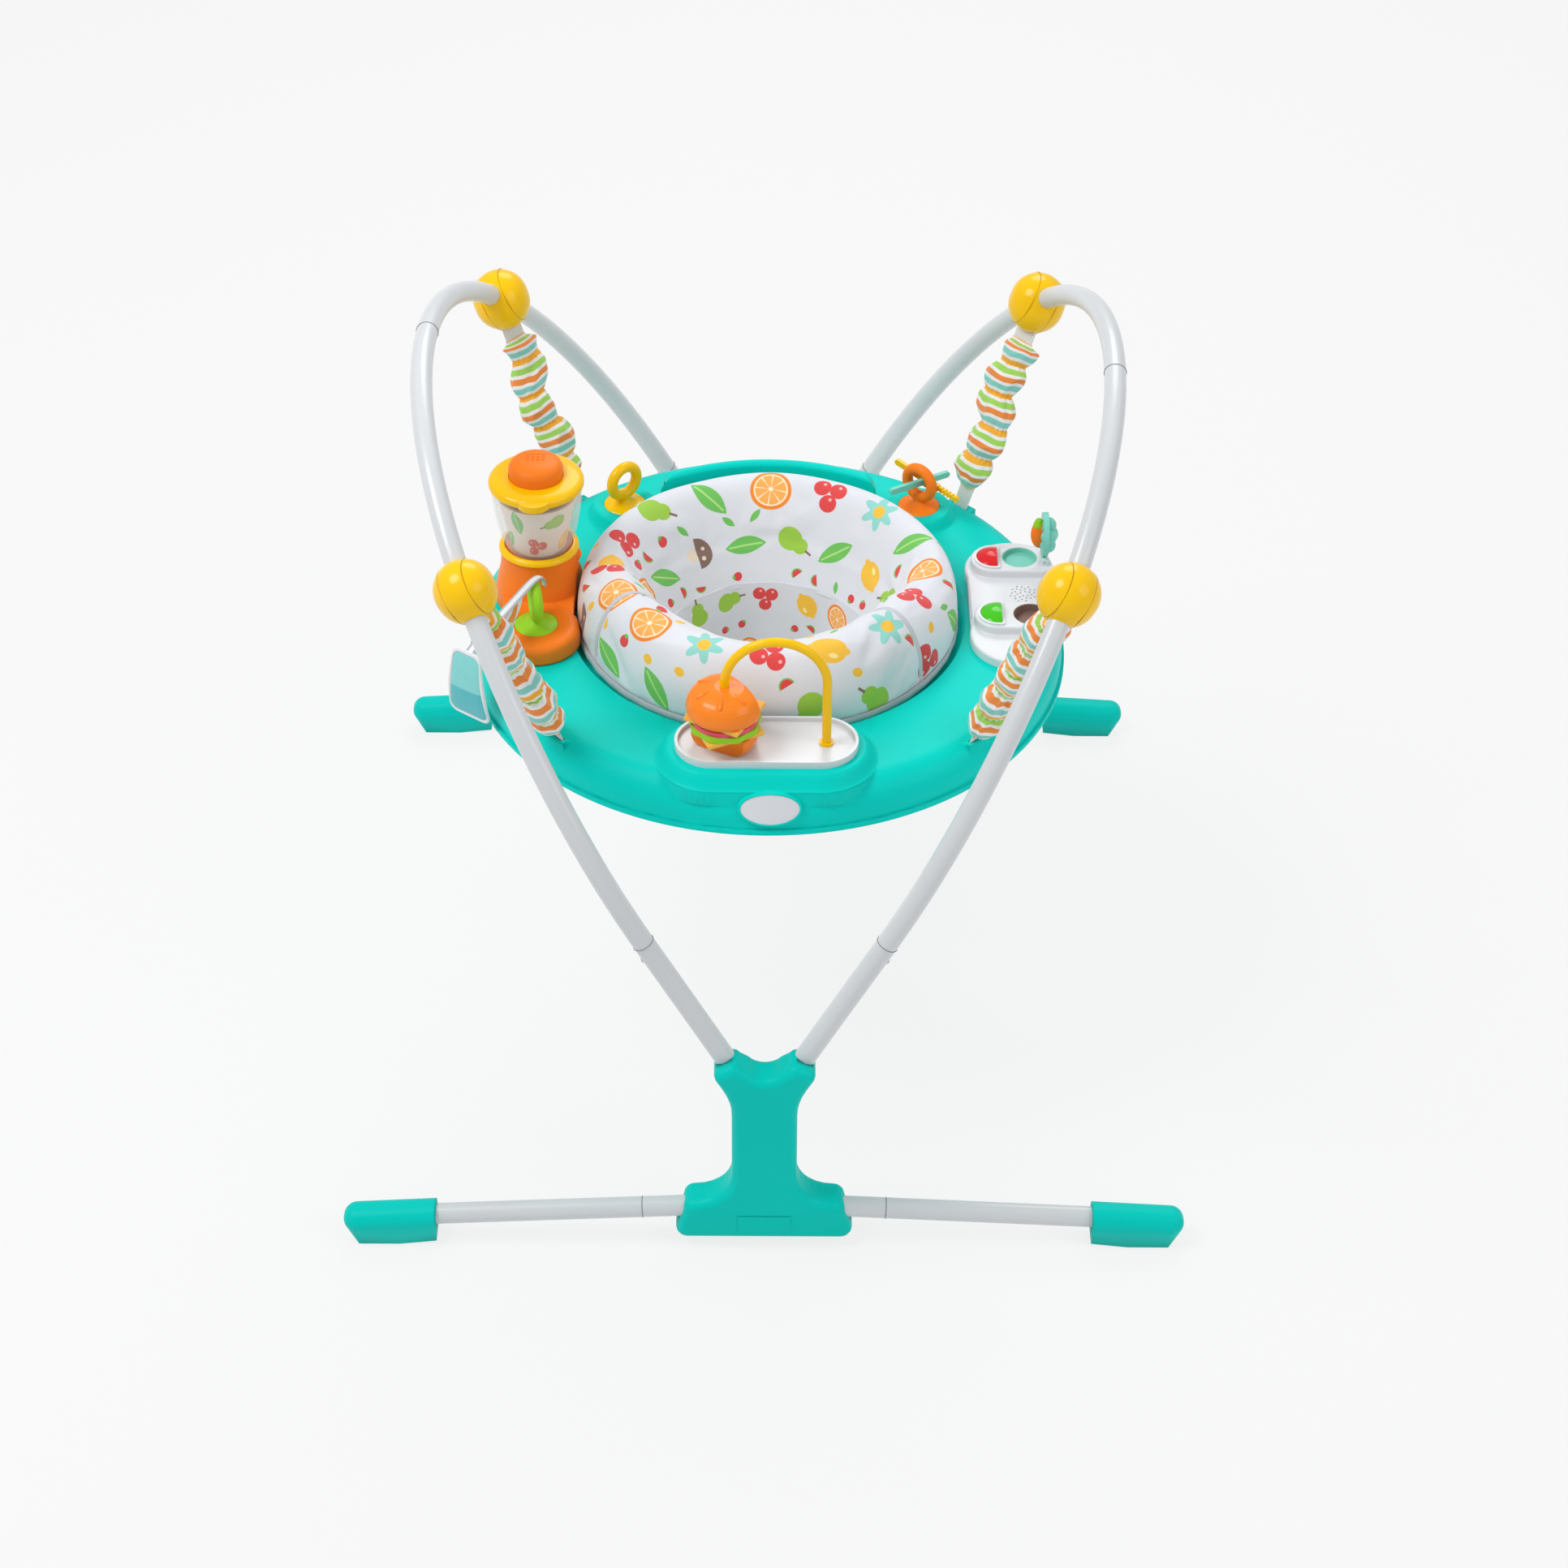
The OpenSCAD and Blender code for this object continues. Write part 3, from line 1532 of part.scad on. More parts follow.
// The pocket that takes a closed flap's raised drop.
module flap_well(at) {
    translate([at[0] - flap_reach, at[1], deck_z - well_h])
        cylinder(r = well_r, h = well_h + over);
}

module sound_housing() {
    color("white")
        difference() {
            union() {
                difference() {
                    sound_body(0, 0);
                    translate([0, 0, -over])
                        sound_body(sound_wall, sound_wall - over);
                }
                for (y = [red_y, green_y])
                    translate([key_x, y, deck_z - key_sink - key_travel * 2])
                        linear_extrude(height = key_sink + key_travel * 2 + bezel_h)
                            key_outline(bezel_w);
                intersection() {
                    for (at = [mint_hinge, brown_hinge])
                        translate([at[0] - flap_reach, at[1], deck_z - well_h - sound_wall])
                            cylinder(r = well_r + sound_wall, h = well_h + sound_wall);
                    sound_body(sound_wall / 2, sound_wall / 2);
                }
                hinge_cheeks(mint_hinge);
                hinge_cheeks(brown_hinge);
            }
            for (y = [red_y, green_y])
                translate([key_x, y, deck_z - key_sink - key_travel])
                    linear_extrude(height = key_h * 4)
                        key_outline(gap);
            flap_well(mint_hinge);
            flap_well(brown_hinge);
            for (i = [1:grille_holes])
                translate([grille_at[0] + grille_pitch * sqrt(i) * cos(137.5 * i),
                    grille_at[1] + grille_pitch * sqrt(i) * sin(137.5 * i),
                    tray_top + sound_skirt_h - sound_wall * 2])
                    cylinder(r = grille_hole_r, h = sound_wall * 4, $fn = 24);
        }
}

// The speaker and the board that carries it, inside the housing.
module sound_module() {
    color("dimgray")
        translate([grille_at[0], grille_at[1], tray_top + gap]) {
            translate([-board_w, -board_l * 0.8, 0])
                cube([board_w, board_l, board_t]);
            cylinder(r = speaker_r, h = speaker_h);
        }
}

module sound_key(y) {
    translate([key_x, y, deck_z - key_sink])
        intersection() {
            linear_extrude(height = key_sink + key_h)
                key_outline(0);
            translate([0, 0, key_sink + key_h - key_r * key_dome_share])
                sphere(r = key_r * key_dome_share);
        }
}

module red_button() {
    color("red")
        sound_key(red_y);
}

module green_button() {
    color("limegreen")
        sound_key(green_y);
}

// A flap that stands up from its hinge, with a ring of bumps outside and one long drop inside.
module flap(at, lean) {
    translate(at)
        rotate([0, lean, 0]) {
            translate([-flap_t / 2, 0, flap_reach])
                rotate([0, 90, 0])
                    cylinder(r = flap_r, h = flap_t);
            translate([0, hinge_half, 0])
                rotate([90, 0, 0])
                    cylinder(r = hinge_r, h = hinge_half * 2);
            translate([0, hinge_half + gap + cheek_w, 0])
                rotate([90, 0, 0])
                    cylinder(r = hinge_pin_r, h = (hinge_half + gap + cheek_w) * 2);
            for (i = [0:petals - 1])
                translate([flap_t / 2, flap_r * 0.5 * cos(360 * i / petals + 90),
                    flap_reach + flap_r * 0.5 * sin(360 * i / petals + 90)])
                    sphere(r = bump_r);
            translate([flap_t / 2, 0, flap_reach])
                sphere(r = bump_r * 1.3);
            translate([-flap_t / 2, 0, flap_reach - drop_half]) {
                cylinder(r = drop_r, h = drop_half * 2);
                for (z = [0, drop_half * 2])
                    translate([0, 0, z])
                        sphere(r = drop_r);
            }
        }
}

module mint_flap() {
    color("aquamarine")
        flap(mint_hinge, 0);
}

module brown_flap() {
    color("rosybrown")
        flap(brown_hinge, brown_lean);
}

hub_outer_shell(-1);  // front_hub_outer_shell
hub_outer_shell(1);  // rear_hub_outer_shell
hub_inner_shells();
base_stub_tubes();
leg_tube(-1, -1);  // front_left_leg_tube
leg_tube(1, -1);  // front_right_leg_tube
leg_tube(-1, 1);  // rear_left_leg_tube
leg_tube(1, 1);  // rear_right_leg_tube
foot(-1, -1);  // front_left_foot
foot(1, -1);  // front_right_foot
foot(-1, 1);  // rear_left_foot
foot(1, 1);  // rear_right_foot
lower_tube(-1, -1);  // front_left_lower_tube
lower_tube(1, -1);  // front_right_lower_tube
lower_tube(-1, 1);  // rear_left_lower_tube
lower_tube(1, 1);  // rear_right_lower_tube
arch_tube(-1, -1);  // front_left_arch_tube
arch_tube(1, -1);  // front_right_arch_tube
arch_tube(-1, 1);  // rear_left_arch_tube
arch_tube(1, 1);  // rear_right_arch_tube
ball_band(-1, -1);  // front_left_ball_band
ball_band(1, -1);  // front_right_ball_band
ball_band(-1, 1);  // rear_left_ball_band
ball_band(1, 1);  // rear_right_ball_band
ball_caps();
snap_buttons();
hub_screws();
elastic_straps();
strap_sleeves();
tray();
seat_ring();
seat_cushion();
seat_bucket();
yellow_loop();
orange_loop();
green_loop();
teal_stick();
yellow_stick();
hang_tag();
blender_base();
blender_collar();
blender_jug();
blender_drum();
blender_lid();
blender_button();
burger_plate();
burger_bar();
bun_top();
cheese_upper();
ham_slice();
lettuce_leaf();
cheese_lower();
bun_bottom();
sound_housing();
sound_module();
red_button();
green_button();
mint_flap();
brown_flap();
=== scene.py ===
"""Looks of a baby jumper: fabrics, straps, trim, finishes and a pale studio, round the solids."""
import json
import math
from contextlib import contextmanager

import bpy
from bpy.props import FloatProperty, FloatVectorProperty, IntProperty, PointerProperty
from mathutils import Matrix, Vector, noise


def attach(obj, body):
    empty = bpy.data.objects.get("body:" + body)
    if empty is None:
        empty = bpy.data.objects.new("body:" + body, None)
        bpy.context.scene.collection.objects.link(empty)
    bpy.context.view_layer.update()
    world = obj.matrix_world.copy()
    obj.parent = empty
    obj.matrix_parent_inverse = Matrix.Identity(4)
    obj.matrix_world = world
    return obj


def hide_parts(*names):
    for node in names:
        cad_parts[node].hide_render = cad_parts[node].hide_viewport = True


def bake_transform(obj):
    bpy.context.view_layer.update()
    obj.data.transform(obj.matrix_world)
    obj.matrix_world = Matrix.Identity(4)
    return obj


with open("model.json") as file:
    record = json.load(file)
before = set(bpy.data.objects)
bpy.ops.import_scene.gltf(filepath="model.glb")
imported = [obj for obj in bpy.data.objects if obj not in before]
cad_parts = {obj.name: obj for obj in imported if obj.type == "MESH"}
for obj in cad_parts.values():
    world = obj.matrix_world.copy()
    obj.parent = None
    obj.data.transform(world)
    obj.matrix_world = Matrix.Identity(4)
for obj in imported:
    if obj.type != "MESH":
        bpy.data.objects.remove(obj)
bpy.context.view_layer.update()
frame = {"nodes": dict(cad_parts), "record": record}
SLOT_OF = {part["node"]: part["material_slot"] for part in frame["record"]["subparts"]}

bl_info = {
    "name": "Baby jumper",
    "version": (1, 0, 0),
    "blender": (4, 5, 0),
    "location": "View3D > Sidebar > Jumper",
    "description": "Dresses a baby jumper with its fabrics, straps, trim, finishes and studio",
    "category": "Add Mesh",
}

MM = 0.001
SIDES = (-1, 1)
QUARTERS = [(side, end) for side in SIDES for end in SIDES]
FINISHES = {}


def paint(red, green, blue):
    """Linear colour of a display colour given in 0 to 255."""
    def linear(level):
        share = level / 255
        return share / 12.92 if share <= 0.04045 else ((share + 0.055) / 1.055) ** 2.4
    return (linear(red), linear(green), linear(blue))


def shade(colour, amount):
    """The colour made lighter or darker by the amount."""
    return tuple(min(1.0, part * amount) for part in tuple(colour)[:3])


def length(name, default, description):
    """A size in metres."""
    return FloatProperty(name=name, description=description, default=default, unit="LENGTH",
                         precision=4)


def tint(name, default, description):
    """A colour of one finish."""
    return FloatVectorProperty(name=name, description=description, default=default, subtype="COLOR",
                               size=3, min=0.0, max=1.0)


class JumperSizes(bpy.types.PropertyGroup):
    """Sizes of the fabric and trim pieces."""

    strap_width: length("Strap width", 20 * MM, "Width of the elastic webbing")
    strap_thickness: length("Strap thickness", 3.2 * MM, "Thickness of the elastic webbing")
    sleeve_start: length("Sleeve start", 13 * MM, "Distance of a sleeve's lower end from the lug")
    sleeve_end: length("Sleeve end", 203 * MM, "Distance of a sleeve's upper end from the lug")
    sleeve_width: length("Sleeve width", 42 * MM, "Width of a sleeve across the webbing")
    sleeve_depth: length("Sleeve depth", 32 * MM, "Depth of a sleeve through the webbing")
    shirr_pitch: length("Shirring pitch", 38 * MM, "Distance between two gathered rows on a sleeve")
    stripe_pitch: length("Stripe pitch", 9.6 * MM, "Distance between two coloured stripes on a sleeve")
    cushion_outer: length("Cushion outer radius", 201 * MM, "Outer radius of the padded ring")
    cushion_inner: length("Cushion inner radius", 118 * MM, "Inner radius of the padded ring")
    cushion_height: length("Cushion height", 84 * MM, "Height of the padded ring")
    cushion_base: length("Cushion base", 482.7 * MM, "Height of the padded ring's underside")
    bucket_depth: length("Bucket depth", 160 * MM, "Depth of the fabric bucket")
    cloth_thickness: length("Cloth thickness", 2.6 * MM, "Thickness of the bucket's quilted cloth")
    leg_hole_radius: length("Leg hole radius", 50 * MM, "Radius of a leg hole")
    print_pitch: length("Print pitch", 62 * MM, "Distance between two printed motifs")
    tag_height: length("Tag height", 80 * MM, "Height of the fabric tag")
    tag_width: length("Tag width", 50 * MM, "Width of the fabric tag at its foot")
    tag_thickness: length("Tag thickness", 5 * MM, "Thickness of the padded tag")
    badge_half_width: length("Badge half width", 30 * MM, "Half width of the oval plate on the skirt")
    badge_half_height: length("Badge half height", 16.5 * MM,
                              "Half height of the oval plate on the skirt")
    seed_length: length("Seed length", 13 * MM, "Length of a raised seed on the bun")
    seam_line: length("Seam line", 1.1 * MM,
                      "Width of the dark line at a ball's seam or a tube's joint")
    cushion_sections: IntProperty(name="Cushion sections", description="Sections round the padded ring",
                                  default=216, min=48, max=400)


class JumperColours(bpy.types.PropertyGroup):
    """Colours of the finishes."""

    teal: tint("Teal", paint(0, 204, 191), "Hubs and feet")
    tray: tint("Tray", paint(0, 214, 200), "The tray")
    tube: tint("Tube", paint(212, 215, 217), "Powder coat on the tubes")
    yellow: tint("Yellow", paint(255, 200, 2), "Strap balls, lid and bar")
    orange: tint("Orange", paint(255, 130, 34), "Blender base, its button and the orange loop")
    lime: tint("Lime", paint(156, 214, 44), "Green loop and lettuce")
    mint: tint("Mint", paint(126, 210, 192), "Flap and dish")
    brown: tint("Brown", paint(132, 106, 96), "Flap and dish")
    red: tint("Red", paint(222, 32, 36), "Red button")
    green: tint("Green", paint(70, 200, 20), "Green button")
    bun: tint("Bun", paint(255, 136, 34), "Both halves of the bun")
    cheese: tint("Cheese", paint(252, 190, 78), "Cheese slices")
    ham: tint("Ham", paint(238, 92, 116), "Ham slice")
    drum: tint("Drum", paint(247, 232, 224), "Ground of the printed drum")
    white: tint("White", paint(222, 225, 228), "Housing, seat ring and burger plate")
    board: tint("Board", paint(30, 96, 60), "Circuit board")
    steel: tint("Steel", paint(190, 190, 188), "Buttons and screws")
    cloth: tint("Cloth", paint(226, 229, 235), "Ground of the seat fabric")
    tape: tint("Tape", paint(196, 197, 203), "Binding tape of the seat")
    floor: tint("Floor", paint(240, 240, 240), "Studio floor")


# Colours of the printed motifs.

PRINTS = {
    "citrus": paint(247, 140, 40), "peach": paint(253, 176, 86), "leaf": paint(112, 196, 92),
    "pale_leaf": paint(176, 226, 130), "lemon": paint(250, 196, 60), "berry": paint(226, 70, 70),
    "mint": paint(146, 216, 206), "pear": paint(158, 206, 70), "bark": paint(136, 108, 98),
}
PRINT_SOFT = 0.35  # softness of a motif's edge
GRAIN_SIZE = 0.9 * MM  # of spark-eroded plastic
MERGE = 0.00002  # distance at which points of a solid's copy are merged

# The studio: each lamp's name, place, aim, size and watts, then the camera that the photograph gave.

FLOOR_SIZE = 60
LAMPS = (
    ("key", (-1.9, -0.6, 3.4), (0, 0, 0.35), 1.8, 62),
    ("fill", (2.6, -1.6, 2.4), (0, 0, 0.4), 2.2, 22),
    ("rear", (0.4, 2.6, 3.0), (0, 0, 0.4), 2.0, 34),
)
CAMERA_PLACE = (0.0039, -3.0135, 2.6634)
CAMERA_TURNS = (0.29, 38.58, 0.5)  # yaw, pitch and roll
CAMERA_LENS = 80.14
CAMERA_SENSOR = 36

# The frame: a lug, a ball and the tubes' joints, mirrored to the other sides.

LUG = Vector((212.2, 209.2, 486.0)) * MM
BALL = Vector((290.5, 273.0, 711.7)) * MM
BALL_RADIUS = 30.5 * MM
BALL_STRETCH = 2.5 / 30.5  # how much longer a ball is along its strap
BALL_BAND = 13.5 * MM  # half width of a ball's middle band
TUBE_RADIUS = 11.05 * MM
HOOP_TILT = math.radians(28.35)
HOOP_INSET = 93.5 * MM  # from the middle to where a hoop's plane meets the floor
LEG_JOINT = (423 * MM, 450 * MM)  # reach from the middle and rise along the hoop's plane
LEG_SPLAY = math.radians(2)
BASE_HUB = (438 * MM, 50 * MM)  # reach and height of a base tube in its hub
BASE_JOINT = 127 * MM  # from the hub's middle
BASE_DROOP = math.radians(3.1)
CROWN_CENTRE = 553.124 * MM  # of a hoop's arc, up the hoop's plane
CROWN_RADIUS = 373.915 * MM
CROWN_TURN = math.radians(5.4)  # of the joint beside the crown

# Straps and sleeves.

STRAP_SHORT = 25 * MM  # how far a strap ends before the ball's centre
SLEEVE_STEPS, SLEEVE_SIDES = 210, 84
HUG_DEPTH = 2.7 * MM  # half depth of a sleeve where it hugs the strap
# Where each sleeve stands out to one side: share of its length, bearing, amount and spread.
SLEEVE_FLARES = {
    (-1, -1): (0.3, 1.2, 0.35, 0.16), (1, -1): (0.13, 1.9, 0.75, 0.09),
    (-1, 1): (0.8, -1.6, 0.4, 0.1), (1, 1): (0.55, 1.5, 0.2, 0.14),
}

# The seat. Sections of the padded ring are shares of its width and height: a full roll in front,
# a slope behind, and its inner edge at the same place in both.

FRONT_ROLL = [
    (0.93, 0), (1, 0.1), (1, 0.26), (0.98, 0.44), (0.92, 0.62), (0.83, 0.78), (0.71, 0.91),
    (0.57, 0.99), (0.43, 1), (0.29, 0.94), (0.16, 0.81), (0.07, 0.62), (0.02, 0.38), (-0.01, 0.1),
    (-0.05, -0.18), (-0.09, -0.41), (-0.02, -0.36), (0.16, -0.02), (0.55, 0),
]
REAR_SLOPE = [
    (0.93, 0), (1, 0.1), (1, 0.26), (0.985, 0.43), (0.95, 0.58), (0.89, 0.695), (0.81, 0.765),
    (0.72, 0.785), (0.62, 0.755), (0.51, 0.67), (0.4, 0.53), (0.28, 0.34), (0.17, 0.13),
    (0.07, -0.09), (-0.03, -0.28), (-0.09, -0.41), (-0.02, -0.36), (0.16, -0.02), (0.55, 0),
]
INNER_END = 15  # the inner edge's number in a section
SECTION_STEPS = 3
RING_CORE = (0.52, 0.42)  # middle of a section
RING_REACH = 0.16  # middle radius of the ring
UNDERSIDE = 0.12  # share of the height below which the ring lies on the seat ring
SEAM_TURNS = (205.0, 324.0)
SEAM_BLEND = 46  # degrees over which the roll turns into the slope
SEAM_REACH = 0.17
# Tape sections: mm outwards, mm up and place across the tape; then mm aside, mm proud and place across.
BINDING_SECTION = (
    (-4.6, 0.7, 0), (0.4, 0.8, -0.5), (1.5, 2.4, -0.4), (1.8, 5.2, 0), (1.5, 8.2, 0.4),
    (0.3, 9.8, 0.5), (-1.8, 9.2, 0),
)
SEAM_SECTION = (
    (-3.4, -1.4, -0.5), (-2.8, 0.7, -0.36), (-1.0, 1.0, -0.2), (0, 0.4, 0),
    (1.0, 1.0, 0.2), (2.8, 0.7, 0.36), (3.4, -1.4, 0.5), (0, -2.4, 0),
)
# The bucket: shares of its radius and depth, how far it rises in the ring, and its leg holes.
BUCKET_SHARES = [(1.03, 0), (0.96, 0.2), (0.9, 0.42), (0.84, 0.62), (0.75, 0.8), (0.6, 0.93), (0.36, 1)]
BUCKET_TOP = 0.27
BUCKET_RISE = 14.1 * MM
LEG_TURN = math.radians(38.0)
LEG_LEVEL = 0.58

# The tag: the loop's top, the way the tag hangs from it, and the ribbon's route and leaf in mm.

TAG_TOP = Vector((-242, -52, 566.4)) * MM
TAG_TURN = math.radians(234)
TAG_FOLD = 0.498  # height at which the tag's colour changes
RIBBON_ROUTE = [
    (-14.5, -12), (-14, -5), (-9.5, 1.6), (0, 3.4), (14, 0.6), (45, -8), (82, -18), (110, -30),
]
LEAF_CORNERS = [(19, -7), (58, -18), (34, -37)]

# The tray's front and the toys; the sound toy's decks and foot are in mm, as its solid is compared.

BADGE_ROOT = -9  # depth of the plate in the skirt, in mm
BADGE_PLACE = (4 * MM, 476.5 * MM)
SKIRT_REACH = 309.8 * MM
SKIRT_SLOPE = 0.22
BUN_FOOT = Vector((-41.8, -248, 551.7)) * MM
BUN_RADIUS, BUN_HEIGHT = 39 * MM, 30 * MM
BUN_CROWN = [(1, 0.26), (0.96, 0.46), (0.87, 0.66), (0.72, 0.82), (0.5, 0.94), (0.26, 0.99)]
SEED_SPOTS = ((0.66, 262), (0.62, 205), (0.64, 150), (0.6, 312))
BLENDER_AXIS = Vector((-0.242, 0.03))
DRUM_FOOT = 0.561
BUTTON_TOP = Vector((-242, 30, 665)) * MM
BUTTON_SAG = 0.0034  # fall of the button's dome, in mm for each square mm
DECK_LEVEL, FOOT_LEVEL = 512, 502
DECK_ROWS = (76, -27)
DECK_SPINE = (242.75, 290)
DECK_RADIUS = 24.5
FOOT_ROUNDS = ((262, 70, 50), (265.93, -48, 53))
FOOT_EDGE = 214
DISHES = (
    ("mint_dish", "mint_plastic", 270.8, 77, 5.4), ("brown_dish", "brown_plastic", 277.8, -27, 8.4),
)
DISH_LEVEL = 507.2 * MM
CARROT = Vector((291.6, 77, 542.7)) * MM
CARROT_LEAF = Vector((289.6, 77, 557.5)) * MM


# Shader arithmetic.

class Wire:
    """A value in a node tree that takes part in sums."""

    def __init__(self, finish, socket):
        self.finish = finish
        self.socket = socket

    def _math(self, operation, *terms):
        return self.finish.node("ShaderNodeMath", {"operation": operation}, dict(enumerate(terms)))

    def __add__(self, other):
        return self._math("ADD", self, other)

    __radd__ = __add__

    def __sub__(self, other):
        return self._math("SUBTRACT", self, other)

    def __rsub__(self, other):
        return self._math("SUBTRACT", other, self)

    def __mul__(self, other):
        return self._math("MULTIPLY", self, other)

    __rmul__ = __mul__

    def __truediv__(self, other):
        return self._math("DIVIDE", self, other)

    def __rtruediv__(self, other):
        return self._math("DIVIDE", other, self)

    def __pow__(self, other):
        return self._math("POWER", self, other)

    def __mod__(self, other):
        return self._math("FLOORED_MODULO", self, other)

    def __abs__(self):
        return self._math("ABSOLUTE", self)

    def __lt__(self, other):
        return self._math("LESS_THAN", self, other)

    def __gt__(self, other):
        return self._math("GREATER_THAN", self, other)

    def floor(self):
        return self._math("FLOOR", self)

    def sin(self):
        return self._math("SINE", self)

    def cos(self):
        return self._math("COSINE", self)

    def root(self):
        return self._math("SQRT", self)

    def angle(self, other):
        """Angle of the point whose height is this value and whose reach is the other."""
        return self._math("ARCTAN2", self, other)

    def least(self, other):
        return self._math("MINIMUM", self, other)

    def most(self, other):
        return self._math("MAXIMUM", self, other)

    def step(self, low, high):
        """0 below low and 1 above high, smooth between; high may lie below low."""
        return self.finish.node(
            "ShaderNodeMapRange", {"interpolation_type": "SMOOTHSTEP", "clamp": True},
            {"Value": self, "From Min": low, "From Max": high, "To Min": 0.0, "To Max": 1.0})


class Finish:
    """A material that is built up from expressions."""

    def __init__(self, name):
        self.material = FINISHES[name] = bpy.data.materials.new(name)
        self.material.use_nodes = True
        self.tree = self.material.node_tree
        self.shader = self.tree.nodes["Principled BSDF"]
        self._place = None

    def node(self, kind, settings=None, sockets=None, out=0):
        """Adds a node of that kind, sets its settings, then its sockets, and gives back one output."""
        made = self.tree.nodes.new(kind)
        for key, value in (settings or {}).items():
            setattr(made, key, value)
        for key, value in (sockets or {}).items():
            self._give(made.inputs[key], value)
        return Wire(self, made.outputs[out])

    def _give(self, socket, value):
        """Links a value to a socket, or sets a number or colour on it."""
        if isinstance(value, Wire):
            self.tree.links.new(value.socket, socket)
        elif socket.type == "RGBA":
            socket.default_value = (*tuple(value)[:3], 1.0)
        else:
            socket.default_value = value

    def set(self, socket, value):
        """Sets or links one of the shader's own sockets."""
        self._give(self.shader.inputs[socket], value)

    def parts(self, vector):
        """The three parts of a vector."""
        outs = self.node("ShaderNodeSeparateXYZ", None, {0: vector}).socket.node.outputs
        return tuple(Wire(self, outs[i]) for i in range(3))

    def place(self):
        """Place on the piece, in metres."""
        if self._place is None:
            self._place = self.node("ShaderNodeTexCoord", None, None, "Object")
        return self._place

    def axes(self):
        """The place's three parts."""
        return self.parts(self.place())

    def held(self, name):
        """A number that the piece's mesh carries at each point."""
        return self.node("ShaderNodeAttribute", {"attribute_name": name}, None, "Fac")

    def cloud(self, scale, detail=2.0):
        """Soft noise between 0 and 1."""
        return self.node("ShaderNodeTexNoise", None,
                         {"Vector": self.place(), "Scale": scale, "Detail": detail})

    def mix(self, share, first, second):
        """From the first colour to the second."""
        return self.node("ShaderNodeMix", {"data_type": "RGBA"}, {0: share, 6: first, 7: second}, 2)

    def bump(self, height, strength, distance):
        """Raises the surface by a height of 0 to 1 times the distance."""
        self.set("Normal", self.node("ShaderNodeBump", None,
                                     {"Strength": strength, "Distance": distance, "Height": height}))


def moulded(name, colour, rough, grain=0.0, coat=0.0, shine=0.14):
    """Moulded plastic: slight drift of colour, uneven gloss and, where it has one, a fine grain."""
    finish = Finish(name)
    drift = finish.cloud(7.0, 3.0)
    finish.set("Base Color", finish.mix(drift, shade(colour, 0.95), shade(colour, 1.04)))
    smudge = finish.cloud(38.0, 4.0)
    finish.set("Roughness", rough - 0.04 + 0.08 * smudge)
    if grain:
        finish.bump(finish.cloud(1 / GRAIN_SIZE, 2.0), grain, 0.25 * MM)
    else:
        finish.bump(finish.cloud(24.0, 1.0), 0.02, 0.3 * MM)
    if coat:
        finish.set("Coat Weight", coat)
        finish.set("Coat Roughness", 0.06)
    finish.set("Specular IOR Level", shine)
    return finish


def coated_tube(name, colour):
    """Powder coat with a faint orange peel."""
    finish = Finish(name)
    drift = finish.cloud(5.0, 3.0)
    finish.set("Base Color", finish.mix(drift, shade(colour, 0.95), shade(colour, 1.03)))
    finish.set("Roughness", 0.26 + 0.1 * finish.cloud(30.0, 3.0))
    finish.bump(finish.cloud(420.0, 1.0), 0.12, 0.25 * MM)
    finish.set("Coat Weight", 0.25)
    finish.set("Coat Roughness", 0.12)
    return finish


def bright_metal(name, colour):
    """Plated steel, brushed a little."""
    finish = Finish(name)
    finish.set("Base Color", finish.mix(finish.cloud(60.0, 3.0), shade(colour, 0.8), colour))
    finish.set("Metallic", 1.0)
    finish.set("Roughness", 0.22 + 0.2 * finish.cloud(220.0, 3.0))
    return finish


def clear_jug(name):
    """Clear moulded polycarbonate, more opaque where it turns away: a painted pale edge reflection."""
    finish = Finish(name)
    finish.set("Base Color", paint(244, 244, 242))
    finish.set("Roughness", 0.05 + 0.04 * finish.cloud(30.0, 2.0))
    # Painted reflection: the jug grows more opaque and off-white towards its turned-away edges.
    edge = finish.node("ShaderNodeLayerWeight", None, {"Blend": 0.35}, "Facing")
    finish.set("Alpha", 0.1 + 0.42 * edge ** 2.0)
    finish.bump(finish.cloud(26.0, 1.0), 0.05, 0.5 * MM)
    return finish


def lit_button(name, colour):
    """Brightly tinted, glossy button."""
    finish = Finish(name)
    glow = finish.cloud(90.0, 2.0)
    finish.set("Base Color", finish.mix(glow, shade(colour, 0.92), shade(colour, 1.06)))
    finish.set("Roughness", 0.14 + 0.08 * finish.cloud(70.0, 2.0))
    finish.set("Coat Weight", 0.35)
    finish.set("Coat Roughness", 0.05)
    finish.set("Specular IOR Level", 0.2)
    return finish


def weave(across, along, thread):
    """Height of a plain weave of the given thread pitch."""
    turn = 2 * math.pi / thread
    return 0.5 + 0.25 * ((across * turn).sin() * (along * turn * 0.5).cos()
                         + (along * turn).sin() * (across * turn * 0.5).cos())


def rotated(x, y, turn):
    """The point turned by an angle."""
    c = turn.cos()
    s = turn.sin()
    return x * c + y * s, y * c - x * s


def disc(x, y, radius):
    """1 inside a disc, in the units of x and y."""
    return (x * x + y * y).root().step(radius + PRINT_SOFT, radius - PRINT_SOFT)


def union(first, *others):
    """1 where any of the masks is 1."""
    for mask in others:
        first = first.most(mask)
    return first


def drawn(kind, count, index):
    """1 where chance has picked the motif of that number out of so many."""
    share = kind * count - index
    return (share > 0.0) * (share < 1.0)


